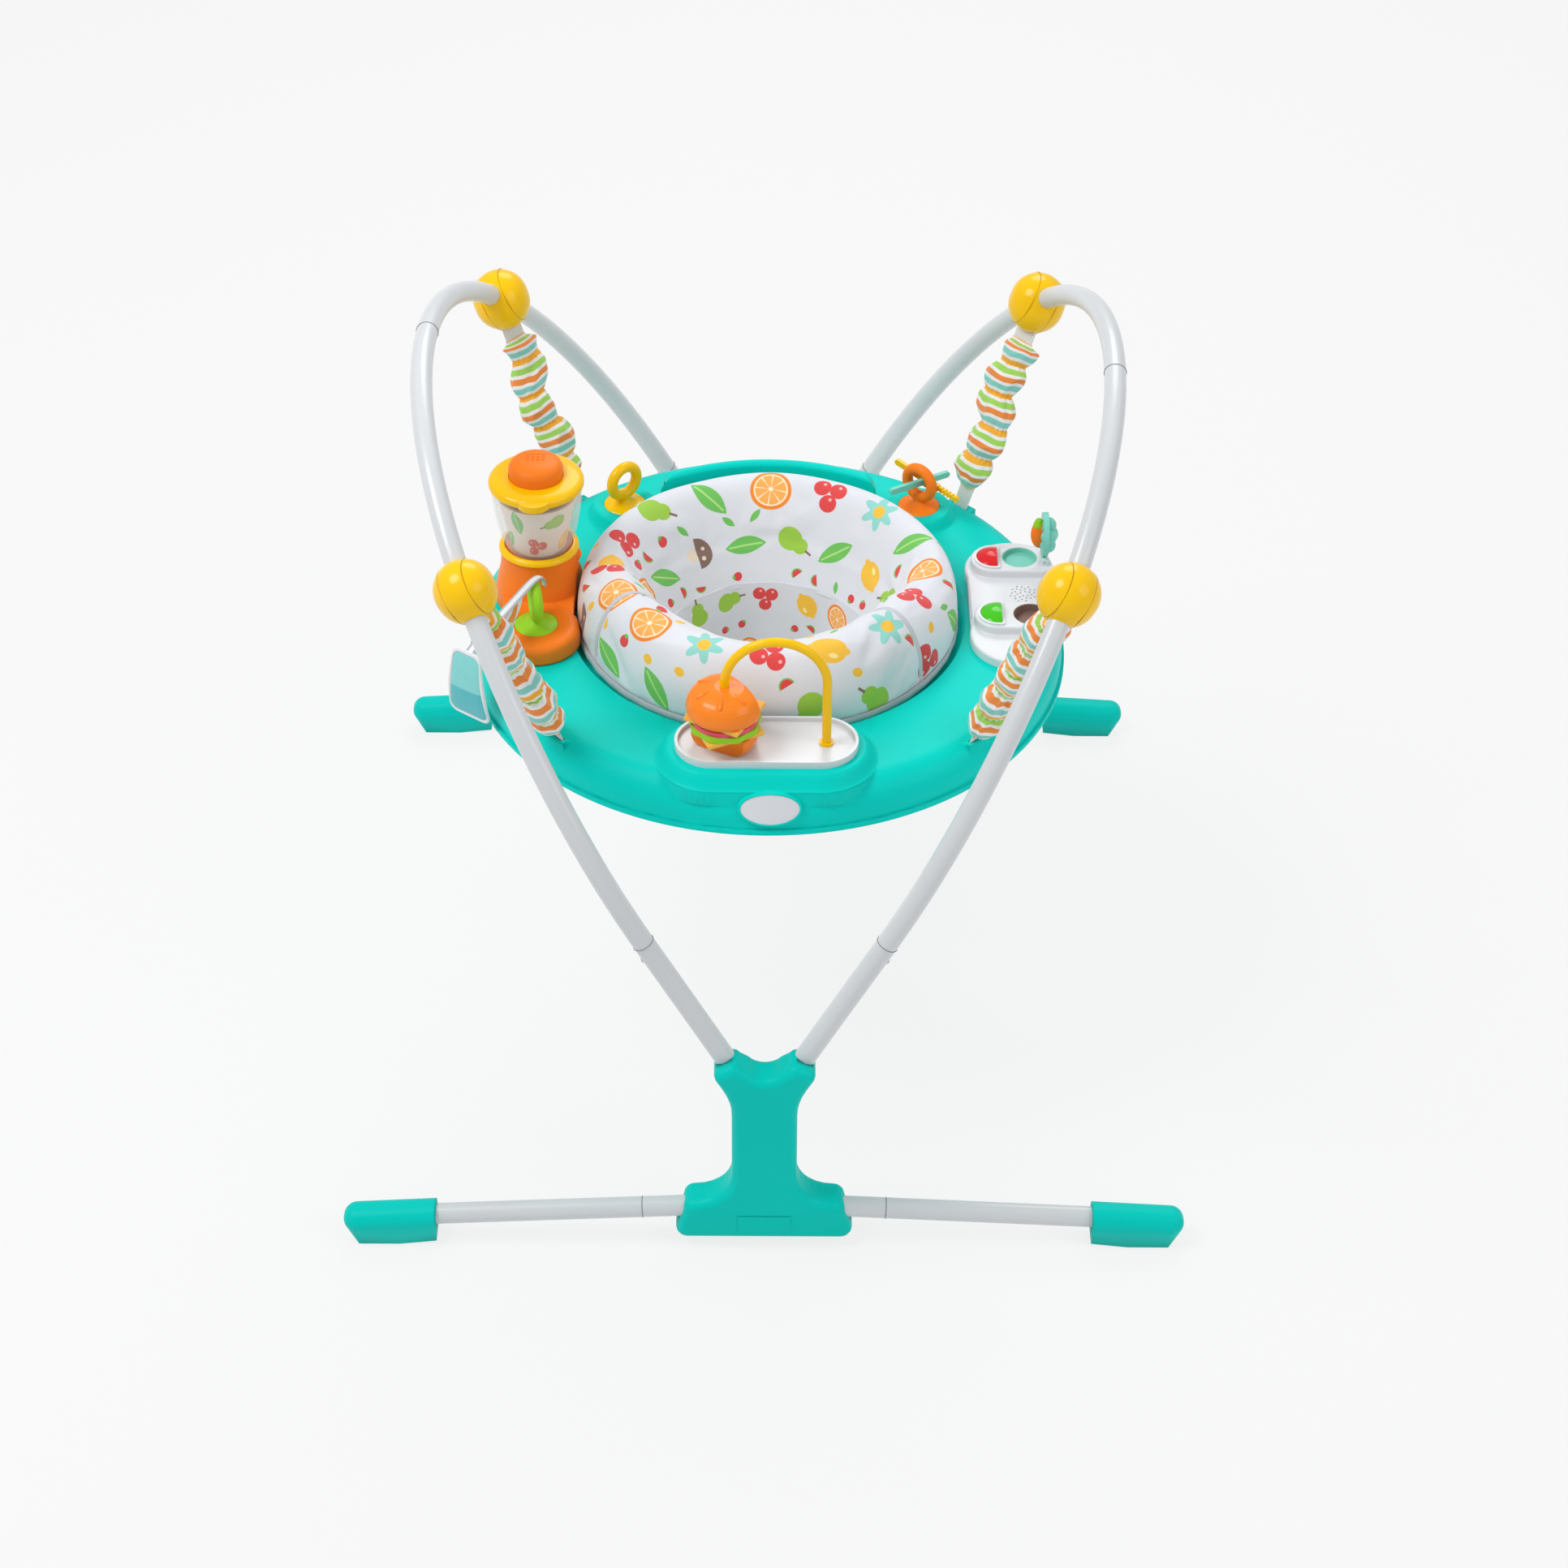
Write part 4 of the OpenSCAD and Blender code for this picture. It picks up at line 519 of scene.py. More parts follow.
def fruit_motifs(finish, ink, px, py, kind, colours):
    """Lays one of seven fruit, leaf and flower motifs, each about 28 units across, over the ink."""
    away = (px * px + py * py).root()
    bearing = py.angle(px)

    def lay(base, mask, colour):
        return finish.mix(mask, base, colour)

    # A slice of citrus: rind, pith and segments.
    slot = drawn(kind, 7.0, 0)
    ink = lay(ink, slot * disc(px, py, 14.0), colours["citrus"])
    ink = lay(ink, slot * disc(px, py, 11.6), paint(255, 240, 205))
    spokes = abs((bearing * 4.0).sin()).step(0.12, 0.22)
    ink = lay(ink, slot * disc(px, py, 10.6) * spokes * away.step(1.2, 2.0), colours["peach"])
    # A leaf with its rib.
    slot = drawn(kind, 7.0, 1)
    blade = (6.8 * (1.0 - (px / 16.0) ** 2.0) - abs(py)).step(-0.3, 0.4)
    ink = lay(ink, slot * blade, colours["leaf"])
    rib = abs(py).step(0.9, 0.5) * abs(px).step(13.5, 12.5)
    ink = lay(ink, slot * rib, colours["pale_leaf"])
    # A lemon with a pale glint.
    slot = drawn(kind, 7.0, 2)
    body = union(disc(px / 1.28, py, 9.2), disc(abs(px) - 11.6, py, 2.2))
    ink = lay(ink, slot * body, colours["lemon"])
    ink = lay(ink, slot * disc((px + 3.0) / 1.9, py - 4.0, 1.6), paint(255, 236, 150))
    # Three berries with pale glints.
    slot = drawn(kind, 7.0, 3)
    berries = union(disc(px - 6.2, py + 3.2, 6.0), disc(px + 6.2, py + 3.2, 6.0),
                    disc(px, py - 6.4, 6.0))
    ink = lay(ink, slot * berries, colours["berry"])
    glints = union(disc(px - 4.4, py + 1.0, 1.1), disc(px + 8.0, py + 1.0, 1.1),
                   disc(px + 1.8, py - 8.4, 1.1))
    ink = lay(ink, slot * glints, paint(255, 190, 190))
    # A flower.
    slot = drawn(kind, 7.0, 4)
    petals = (13.5 * (0.76 + 0.24 * (bearing * 6.0).cos()) - away).step(-0.35, 0.35)
    ink = lay(ink, slot * petals, colours["mint"])
    ink = lay(ink, slot * disc(px, py, 4.4), colours["lemon"])
    # A pear with a stalk.
    slot = drawn(kind, 7.0, 5)
    pear = union(disc(px, py + 4.4, 9.0), disc(px / 1.05, py - 4.6, 6.0))
    ink = lay(ink, slot * pear, colours["pear"])
    stalk = abs(px).step(1.2, 0.7) * abs(py - 12.4).step(3.2, 2.6)
    ink = lay(ink, slot * stalk, colours["bark"])
    # A mushroom.
    slot = drawn(kind, 7.0, 6)
    cap = disc(px, py, 12.0) * (py + 0.6).step(-0.3, 0.3)
    stem = disc(px, py + 4.0, 5.0) * (py + 0.6).step(0.3, -0.3)
    ink = lay(ink, slot * stem, paint(238, 222, 200))
    ink = lay(ink, slot * cap, colours["bark"])
    spots = union(disc(px - 4.0, py - 4.0, 1.8), disc(px + 3.6, py - 5.4, 1.4))
    return lay(ink, slot * spots, paint(238, 222, 200))


def picked(finish, column, row, salt):
    """Three chance numbers between 0 and 1 for a cell of the print."""
    cell = finish.node("ShaderNodeCombineXYZ", None, {0: column, 1: row, 2: salt})
    return finish.parts(finish.node("ShaderNodeTexWhiteNoise", {"noise_dimensions": "3D"},
                                    {"Vector": cell}, "Color"))


def printed_cloth(name, cloth, pitch, colours):
    """Seat fabric: white plain weave with large fruit, leaves and flowers, and small ones between."""
    finish = Finish(name)
    x, y, _ = finish.axes()
    around = y.angle(x)
    reach = (x * x + y * y).root()
    down = finish.held("down")
    cells = round(2 * math.pi * RING_REACH / pitch)
    width = reach * (2 * math.pi / cells * 1000)
    fit = (width / 58.0).least(1.0)  # motifs shrink where the cells are narrow
    row = (down / pitch).floor()
    spun = around * (cells / (2 * math.pi)) + 0.5 * (row % 2.0)
    column = spun.floor()
    kind, turn, drift = picked(finish, column, row, 3.7)
    local_x = (spun - column - 0.5) * width - 9.0 * (drift - 0.5) * fit
    local_y = (down / pitch - row - 0.5) * (pitch * 1000) - 8.0 * (turn - 0.5)
    large = 1.62 * fit
    px, py = rotated(local_x / large, local_y / large, turn * 6.283)
    ink = finish.mix(finish.cloud(11.0, 3.0), shade(cloth, 0.975), cloth)
    ink = fruit_motifs(finish, ink, px, py, kind, colours)
    # Small strawberries, leaves, lemons and melon slices between the large motifs.
    half_spun = around * (cells / math.pi)
    half_column = half_spun.floor()
    half_row = (down / pitch + 0.5).floor()
    kind, turn, drift = picked(finish, half_column, half_row, 8.1)
    small_x = (half_spun - half_column - 0.5) * (width * 0.5) - 4.0 * (drift - 0.5)
    small_y = (down / pitch + 0.5 - half_row - 0.5) * (pitch * 1000) - 5.0 * (turn - 0.5)
    px, py = rotated(small_x / fit, small_y / fit, turn * 6.283)

    def lay(index, mask, colour):
        return finish.mix(drawn(kind, 6.0, index) * mask, ink, colour)

    ink = lay(0, disc(px, py * (1.0 - 0.018 * py), 6.2), colours["berry"])
    ink = lay(0, disc(px / 1.5, py - 6.2, 2.0), colours["leaf"])
    ink = lay(1, (3.6 * (1.0 - (px / 9.0) ** 2.0) - abs(py)).step(-0.3, 0.4), colours["leaf"])
    ink = lay(2, disc(px / 1.3, py, 4.6), colours["lemon"])
    ink = lay(3, disc(px, py, 8.6) * (py + 0.2).step(-0.3, 0.3), colours["leaf"])
    ink = lay(3, disc(px, py, 7.0) * (py + 0.2).step(-0.3, 0.3), colours["berry"])
    finish.set("Base Color", ink)
    finish.set("Roughness", 0.82 + 0.1 * finish.cloud(160.0, 2.0))
    finish.set("Sheen Weight", 0.2)
    finish.set("Sheen Roughness", 0.5)
    height = weave(around * RING_REACH, down, 1.1 * MM) + 1.4 * finish.cloud(55.0, 3.0)
    finish.bump(height, 0.22, 0.5 * MM)
    return finish


def printed_drum(name, ground, axis, foot, colours):
    """The blender's drum: pale plastic printed with two rows of fruit round its axis."""
    finish = Finish(name)
    x, y, z = finish.axes()
    around = (y - axis.y).angle(x - axis.x)
    cells, tall = 6, 31.0
    level = (z - foot) * (1000 / tall)
    row = level.floor()
    spun = around * (cells / (2 * math.pi)) + 0.5 * (row % 2.0)
    column = spun.floor()
    kind, turn, _ = picked(finish, column, row, 5.3)
    px, py = rotated((spun - column - 0.5) * 38.0, (level - row - 0.5) * tall, turn * 2.0)
    ink = finish.mix(finish.cloud(20.0, 2.0), shade(ground, 0.97), ground)
    finish.set("Base Color", fruit_motifs(finish, ink, px / 0.98, py / 0.98, kind, colours))
    finish.set("Roughness", 0.4 + 0.08 * finish.cloud(60.0, 2.0))
    return finish


def striped_cloth(name, pitch, bands):
    """Sleeve fabric: coloured stripes on white, set across the strap."""
    finish = Finish(name)
    along = finish.held("along")
    across = finish.held("across")
    wander = finish.cloud(26.0, 2.0) - 0.5
    run = (along + wander * (2.4 * MM)) / pitch
    band = run.floor() % float(len(bands))
    inside = abs(run % 1.0 - 0.5).step(0.33, 0.30)
    colour = bands[0]
    for index, next_colour in enumerate(bands[1:], 1):
        colour = finish.mix(band > index - 0.5, colour, next_colour)
    white = finish.mix(finish.cloud(40.0, 2.0), paint(232, 232, 230), paint(244, 244, 243))
    finish.set("Base Color", finish.mix(inside, white, colour))
    finish.set("Roughness", 0.8 + 0.12 * finish.cloud(120.0, 2.0))
    finish.set("Sheen Weight", 0.3)
    finish.set("Sheen Roughness", 0.45)
    finish.bump(weave(across, along, 0.9 * MM) + 1.5 * finish.cloud(150.0, 2.0), 0.3, 0.5 * MM)
    return finish


def ribbed_webbing(name):
    """White elastic webbing, ribbed across its length and corded along it."""
    finish = Finish(name)
    along = finish.held("along")
    across = finish.held("across")
    ribs = 0.5 + 0.5 * (along * (2 * math.pi / (1.7 * MM))).sin()
    cords = 0.5 + 0.5 * (across * (2 * math.pi / (2.5 * MM))).sin()
    # Painted shade: the valleys between ribs and cords are coloured darker than their crests.
    finish.set("Base Color", finish.mix(ribs * cords, paint(214, 216, 216), paint(244, 244, 242)))
    finish.set("Roughness", 0.78 + 0.12 * finish.cloud(200.0, 2.0))
    finish.bump(ribs + 0.7 * cords, 0.5, 0.5 * MM)
    return finish


def bound_tape(name, colour):
    """Folded binding tape with a row of stitches along each edge."""
    finish = Finish(name)
    along = finish.held("along")
    across = finish.held("across")
    stitch = ((along / (3.2 * MM)) % 1.0).step(0.62, 0.7)
    row = abs(abs(across) - 0.34).step(0.07, 0.04)
    ground = finish.mix(finish.cloud(60.0, 2.0), shade(colour, 0.94), colour)
    finish.set("Base Color", finish.mix(row * stitch, ground, shade(colour, 0.72)))
    finish.set("Roughness", 0.8 + 0.1 * finish.cloud(150.0, 2.0))
    turn = 2 * math.pi / (0.9 * MM)
    finish.bump((along * turn).sin() * 0.5 + row * stitch * -2.0, 0.3, 0.35 * MM)
    return finish


def ribbon_cloth(name):
    """White woven ribbon with grey edges."""
    finish = Finish(name)
    along = finish.held("along")
    across = finish.held("across")
    edge = abs(across).step(2.2 * MM, 2.8 * MM)
    finish.set("Base Color", finish.mix(edge, paint(236, 237, 239), paint(176, 180, 184)))
    finish.set("Roughness", 0.72 + 0.15 * finish.cloud(140.0, 2.0))
    finish.set("Sheen Weight", 0.2)
    finish.bump(weave(across, along, 0.8 * MM), 0.25, 0.4 * MM)
    return finish


def leaf_cloth(name):
    """Orange cloth with a white border."""
    finish = Finish(name)
    inside = finish.held("across").step(0.66, 0.6)
    finish.set("Base Color", finish.mix(inside, paint(238, 239, 241), paint(248, 150, 52)))
    finish.set("Roughness", 0.78 + 0.12 * finish.cloud(150.0, 2.0))
    finish.set("Sheen Weight", 0.25)
    finish.bump(finish.cloud(700.0, 2.0), 0.3, 0.4 * MM)
    return finish


def plush_cloth(name):
    """Short plush of the tag, pale above and deeper in colour below."""
    finish = Finish(name)
    fuzz = finish.cloud(420.0, 3.0)
    _, _, z = finish.axes()
    fold = (z - TAG_FOLD + 0.01 * (finish.cloud(12.0, 1.0) - 0.5)).step(0.0012, -0.0012)
    pale = finish.mix(fuzz, paint(120, 208, 206), paint(146, 222, 218))
    deep = finish.mix(fuzz, paint(70, 182, 190), paint(92, 198, 202))
    finish.set("Base Color", finish.mix(fold, pale, deep))
    finish.set("Roughness", 0.85 + 0.1 * fuzz)
    finish.set("Sheen Weight", 0.5)
    finish.set("Sheen Roughness", 0.4)
    finish.bump(finish.cloud(900.0, 2.0) + 0.8 * finish.cloud(60.0, 2.0), 0.35, 0.5 * MM)
    return finish


def studio_floor(name, colour):
    """Pale floor that shows as bright as the background and keeps the object's shadow."""
    finish = Finish(name)
    finish.set("Base Color", finish.mix(finish.cloud(0.6, 2.0), shade(colour, 0.995), colour))
    finish.set("Roughness", 0.9)
    finish.set("Specular IOR Level", 0.1)
    camera = finish.node("ShaderNodeLightPath", None, None, "Is Camera Ray")
    rays = camera.socket.node.outputs
    seen = union(camera, Wire(finish, rays["Is Glossy Ray"]), Wire(finish, rays["Is Transmission Ray"]))
    glow = finish.node("ShaderNodeEmission", None, {"Color": paint(249, 249, 249), "Strength": 1.0})
    blend = finish.node("ShaderNodeMixShader", None, {0: 0.84 * seen, 2: glow})
    finish.tree.links.new(finish.shader.outputs[0], blend.socket.node.inputs[1])
    finish.tree.links.new(blend.socket, finish.tree.nodes["Material Output"].inputs["Surface"])
    return finish


# Mesh work.

def nothing():
    """Leaves nothing selected."""
    if bpy.context.mode != "OBJECT":
        bpy.ops.object.mode_set(mode="OBJECT")
    bpy.ops.object.select_all(action="DESELECT")


def alone(obj):
    """Selects one object and nothing else."""
    nothing()
    obj.select_set(True)
    bpy.context.view_layer.objects.active = obj


def into_scene(obj):
    """Puts a new object in the scene and gives it back."""
    bpy.context.scene.collection.objects.link(obj)
    return obj


@contextmanager
def edited(obj, kind="VERT", wanted=None):
    """Edit mode on a piece, with all of it selected or the points, edges or faces that are wanted."""
    alone(obj)
    bpy.ops.object.mode_set(mode="EDIT")
    bpy.ops.mesh.select_mode(type=kind)
    bpy.ops.mesh.select_all(action="DESELECT" if wanted else "SELECT")
    if wanted:
        bpy.ops.object.mode_set(mode="OBJECT")
        mesh = obj.data
        parts = {"VERT": mesh.vertices, "EDGE": mesh.edges, "FACE": mesh.polygons}[kind]
        for part in parts:
            part.select = wanted(part)
        if not any(part.select for part in parts):
            raise RuntimeError(f"{obj.name} has nothing to select")
        bpy.ops.object.mode_set(mode="EDIT")
    yield
    bpy.ops.mesh.select_mode(type="VERT")
    bpy.ops.object.mode_set(mode="OBJECT")


def faces_up(face):
    """Whether a face looks straight up."""
    return face.normal.z > 0.9


def resize(*value, centre=(0, 0, 0)):
    """Stretches what is selected from a centre."""
    bpy.ops.transform.resize(value=value, center_override=centre)


def raise_up(height):
    """Extrudes the selected faces upwards."""
    bpy.ops.mesh.extrude_region_move(TRANSFORM_OT_translate={"value": (0, 0, height)})


def settle(name):
    """Names the active piece, puts its place in its mesh and gives it back."""
    obj = bpy.context.active_object
    if obj is None or obj.type != "MESH":
        raise RuntimeError(f"no mesh was made for {name}")
    alone(obj)
    bpy.ops.object.transform_apply(location=True, rotation=True, scale=True)
    obj.name = name
    obj.data.name = name
    return obj


def dress(obj, finish, body, angle=40.0):
    """Smooths a piece, gives it its finish, by name, and lets it ride on a body."""
    alone(obj)
    bpy.ops.object.shade_smooth_by_angle(angle=math.radians(angle))
    obj.data.materials.clear()
    obj.data.materials.append(FINISHES[finish])
    if body:
        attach(obj, body)
    return obj


def work(obj, kind, **settings):
    """Adds a modifier with those settings to a piece and applies it."""
    modifier = obj.modifiers.new(kind.lower(), kind)
    for key, value in settings.items():
        setattr(modifier, key, value)
    alone(obj)
    bpy.ops.object.modifier_apply(modifier=modifier.name)


def softened(node, name):
    """A merged copy of a solid, which stands for it, so that its rounds shade smoothly."""
    copy = into_scene(bpy.data.objects.new(name, frame["nodes"][node].data.copy()))
    with edited(copy):
        bpy.ops.mesh.remove_doubles(threshold=MERGE)
    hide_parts(node)
    return copy


def copies(first, count):
    """A piece whose name ends in 1 and numbered copies of it, each with its own mesh."""
    made = [first]
    for number in range(2, count + 1):
        copy = first.copy()
        copy.data = first.data.copy()
        copy.name = copy.data.name = f"{first.name[:-1]}{number}"
        made.append(into_scene(copy))
    return made


def bevel_edges(obj, width, wanted):
    """Rounds the edges for which wanted says yes to both end points, given in mm."""
    def both(edge):
        return all(wanted(obj.data.vertices[i].co / MM) for i in edge.vertices)

    with edited(obj, "EDGE", both):
        bpy.ops.mesh.bevel(offset=width, segments=5, affect="EDGES", clamp_overlap=False)


def cloth_from_rings(name, rings, closed_round=True, closed_along=False, caps=False, marks=None):
    """A skin over a run of rings of points; marks are numbers that each point carries."""
    count = len(rings[0])
    points = [tuple(p) for ring in rings for p in ring]
    faces = []
    for i in range(len(rings) if closed_along else len(rings) - 1):
        low, high = i * count, ((i + 1) % len(rings)) * count
        for j in range(count if closed_round else count - 1):
            k = (j + 1) % count
            faces.append((low + j, low + k, high + k, high + j))
    if caps:
        faces.append(tuple(range(count))[::-1])
        faces.append(tuple((len(rings) - 1) * count + j for j in range(count)))
    mesh = bpy.data.meshes.new(name)
    mesh.from_pydata(points, [], faces)
    for mark, values in (marks or {}).items():
        mesh.attributes.new(mark, "FLOAT", "POINT").data.foreach_set("value", values)
    obj = into_scene(bpy.data.objects.new(name, mesh))
    with edited(obj):
        bpy.ops.mesh.normals_make_consistent(inside=False)
    return obj


def cloth_area(obj):
    """Area of one face of a cloth that has a thickness."""
    return sum(face.area for face in obj.data.polygons) / 2


def smooth_run(points, steps, closed=False):
    """A smooth curve through the points, with that many steps between two of them."""
    out = []
    count = len(points)
    for i in range(count if closed else count - 1):
        if closed:
            a, b, c, d = (points[(i + k) % count] for k in (-1, 0, 1, 2))
        else:
            a, b, c, d = (points[min(max(i + k, 0), count - 1)] for k in (-1, 0, 1, 2))
        for k in range(steps):
            t = k / steps
            out.append(tuple(
                0.5 * (2 * q + (r - p) * t + (2 * p - 5 * q + 4 * r - s) * t * t
                       + (3 * q - p - 3 * r + s) * t ** 3)
                for p, q, r, s in zip(a, b, c, d)))
    if not closed:
        out.append(tuple(points[-1]))
    return out


def run_lengths(points):
    """Distance along a run of points, at each of them."""
    out = [0.0]
    for a, b in zip(points, points[1:]):
        out.append(out[-1] + (Vector(b) - Vector(a)).length)
    return out


def circle(count):
    """Bearings all round, in radians."""
    return [2 * math.pi * i / count for i in range(count)]


def at_bearing(reach, bearing, height):
    """The point at a distance and bearing from the upright axis."""
    return Vector((reach * math.cos(bearing), reach * math.sin(bearing), height))


def billow(obj, pins, pressure, grow, cap, frames=18):
    """Lets the cloth of a stuffed piece billow and pucker between its pinned points, to a cap."""
    group = obj.vertex_groups.new(name="sewn")
    for index in pins:
        group.add([index], 1.0, "REPLACE")
    modifier = obj.modifiers.new("billow", "CLOTH")
    cloth = modifier.settings
    cloth.quality = 6
    cloth.mass = 0.25
    cloth.tension_stiffness = 12
    cloth.compression_stiffness = 12
    cloth.shear_stiffness = 4
    cloth.bending_stiffness = 0.6
    cloth.use_pressure = True
    cloth.uniform_pressure_force = pressure
    cloth.shrink_min = -grow
    cloth.vertex_group_mass = "sewn"
    cloth.effector_weights.gravity = 0
    modifier.collision_settings.use_collision = False
    modifier.point_cache.frame_start = 1
    modifier.point_cache.frame_end = frames
    scene = bpy.context.scene
    for step in range(1, frames + 1):
        scene.frame_set(step)
    shape = obj.evaluated_get(bpy.context.evaluated_depsgraph_get())
    moved = [v.co.copy() for v in shape.data.vertices]
    obj.modifiers.remove(modifier)
    scene.frame_set(1)
    for vertex, place in zip(obj.data.vertices, moved):
        shift = place - vertex.co
        if shift.length > cap:
            shift *= cap / shift.length
        vertex.co += shift
    obj.vertex_groups.clear()
    obj.data.update()


# Shapes that several pieces share.

def eased(share):
    """0 below 0 and 1 above 1, smooth between."""
    share = min(1.0, max(0.0, share))
    return share * share * (3 - 2 * share)


def hand(side):
    """The side's name."""
    return "left" if side < 0 else "right"


def corner(side, end):
    """The name of one of the four straps' places."""
    return f"{'front' if end < 0 else 'rear'}_{hand(side)}"


def quarter(side, end):
    """Lug, ball and the three directions of a strap: through, across and along it."""
    flip = Vector((side, end, 1))
    lug = LUG * flip
    ball = BALL * flip
    along = (ball - lug).normalized()
    across = Vector((-along.y, along.x, 0)).normalized()
    through = across.cross(along)
    return lug, ball, through, across, along


def ring_section(turn):
    """Shares of the padded ring's section at a bearing: the roll between the seams, else the slope."""
    left, right = SEAM_TURNS
    turn = (turn - 90) % 360 + 90
    slope = max(eased((left - turn) / SEAM_BLEND), eased((turn - right) / SEAM_BLEND))
    section = [(a * (1 - slope) + c * slope, b * (1 - slope) + d * slope)
               for (a, b), (c, d) in zip(FRONT_ROLL, REAR_SLOPE)]
    return smooth_run(section, SECTION_STEPS, closed=True)


def seam_tuck(turn, rise):
    """How far the padded ring is drawn in at a bearing, by the two seams; its underside isn't."""
    tuck = 0.0
    if rise > UNDERSIDE:
        for seam in SEAM_TURNS:
            off = math.radians((turn - seam + 180) % 360 - 180) * RING_REACH / (9 * MM)
            tuck += 0.075 * math.exp(-off * off)
    return tuck


def ring_point(sizes, turn, share, rise, tuck):
    """A point of the padded ring at a bearing and shares of its width and height."""
    s = RING_CORE[0] + (share - RING_CORE[0]) * (1 - tuck)
    h = RING_CORE[1] + (rise - RING_CORE[1]) * (1 - tuck)
    a = math.radians(turn)
    wave = 0.012 * h * (math.sin(5 * a + 0.7) + 0.6 * math.sin(9 * a)) if h > 0.2 else 0.0
    width = sizes.cushion_outer - sizes.cushion_inner
    r = sizes.cushion_inner + width * s - 2.2 * MM * eased((s - 0.6) / 0.4)
    return at_bearing(r, a, sizes.cushion_base + sizes.cushion_height * (h + wave))


def chord(radius, aside):
    """How far ahead a circle lies at that distance aside of its middle."""
    return math.sqrt(max(radius * radius - aside * aside, 1e-6))


def bucket_reach(sizes, bearing, share, deep):
    """Distance of the bucket's wall from its axis, with its soft folds."""
    low = min(deep, 1.0)
    fold = 0.03 * low * math.sin(8 * bearing)
    fold += 0.012 * math.sin(13 * bearing + 5 * deep) * math.sin(math.pi * low)
    return sizes.cushion_inner * share * (1 + fold)


class JUMPER_OT_stage(bpy.types.Operator):
    """Sets up the pale floor, the soft lights and the camera"""

    bl_idname = "jumper.stage"
    bl_label = "Stage"

    def execute(self, context):
        scene = context.scene
        nothing()
        bpy.ops.mesh.primitive_plane_add(size=FLOOR_SIZE)
        floor = settle("studio_floor")
        pale = studio_floor("studio_floor", scene.jumper_colours.floor)
        floor.data.materials.append(pale.material)
        world = bpy.data.worlds.new("studio")
        scene.world = world
        world.use_nodes = True
        background = world.node_tree.nodes["Background"].inputs
        background["Color"].default_value = (0.96, 0.97, 1.0, 1.0)
        background["Strength"].default_value = 0.55
        for name, place, aim, size, watts in LAMPS:
            lamp = bpy.data.lights.new(name, "AREA")
            lamp.shape = "DISK"
            lamp.size = size
            lamp.energy = watts
            obj = into_scene(bpy.data.objects.new(name, lamp))
            obj.location = place
            way = Vector(aim) - Vector(place)
            obj.rotation_euler = way.to_track_quat("-Z", "Y").to_euler()
        self.camera(scene)
        scene.view_settings.view_transform = "Standard"
        return {"FINISHED"}

    def camera(self, scene):
        """The camera, at the photograph's viewing angle."""
        yaw, pitch, roll = (math.radians(a) for a in CAMERA_TURNS)
        ahead = Vector((math.sin(yaw) * math.cos(pitch), math.cos(yaw) * math.cos(pitch),
                        -math.sin(pitch)))
        level = Vector((math.cos(yaw), -math.sin(yaw), 0))
        upright = level.cross(ahead)
        right = level * math.cos(roll) + upright * math.sin(roll)
        above = upright * math.cos(roll) - level * math.sin(roll)
        lens = bpy.data.cameras.new("camera")
        lens.lens = CAMERA_LENS
        lens.sensor_width = CAMERA_SENSOR
        camera = into_scene(bpy.data.objects.new("camera", lens))
        turn = Matrix((right, above, -ahead)).transposed().to_4x4()
        camera.matrix_world = Matrix.Translation(CAMERA_PLACE) @ turn
        scene.camera = camera


class JUMPER_OT_finishes(bpy.types.Operator):
    """Gives every solid of the jumper its moulded, painted or metal finish"""

    bl_idname = "jumper.finishes"
    bl_label = "Finishes of the solids"

    def execute(self, context):
        c = context.scene.jumper_colours
        coated_tube("tube_paint", c.tube)
        moulded("teal_plastic", c.teal, 0.4, 0.18, shine=0.08)
        moulded("tray_plastic", c.tray, 0.42, 0.22, shine=0.08)
        moulded("yellow_plastic", c.yellow, 0.24, coat=0.3)
        moulded("orange_plastic", c.orange, 0.36, 0.1)
        moulded("lime_plastic", c.lime, 0.3, 0.06)
        moulded("mint_plastic", c.mint, 0.3, 0.06)
        moulded("brown_plastic", c.brown, 0.32, 0.08)
        lit_button("red_plastic", c.red)
        lit_button("green_plastic", c.green)
        moulded("bun_plastic", c.bun, 0.24, coat=0.3)
        moulded("cheese_plastic", c.cheese, 0.3)
        moulded("ham_plastic", c.ham, 0.3)
        printed_drum("drum_plastic", c.drum, BLENDER_AXIS, DRUM_FOOT, PRINTS)
        moulded("white_plastic", c.white, 0.24, shine=0.4)
        moulded("board_plastic", c.board, 0.4)
        clear_jug("clear_plastic")
        bright_metal("steel", c.steel)
        for node, obj in frame["nodes"].items():
            if SLOT_OF[node] in FINISHES:
                obj.data.materials.clear()
                obj.data.materials.append(FINISHES[SLOT_OF[node]])
        return {"FINISHED"}


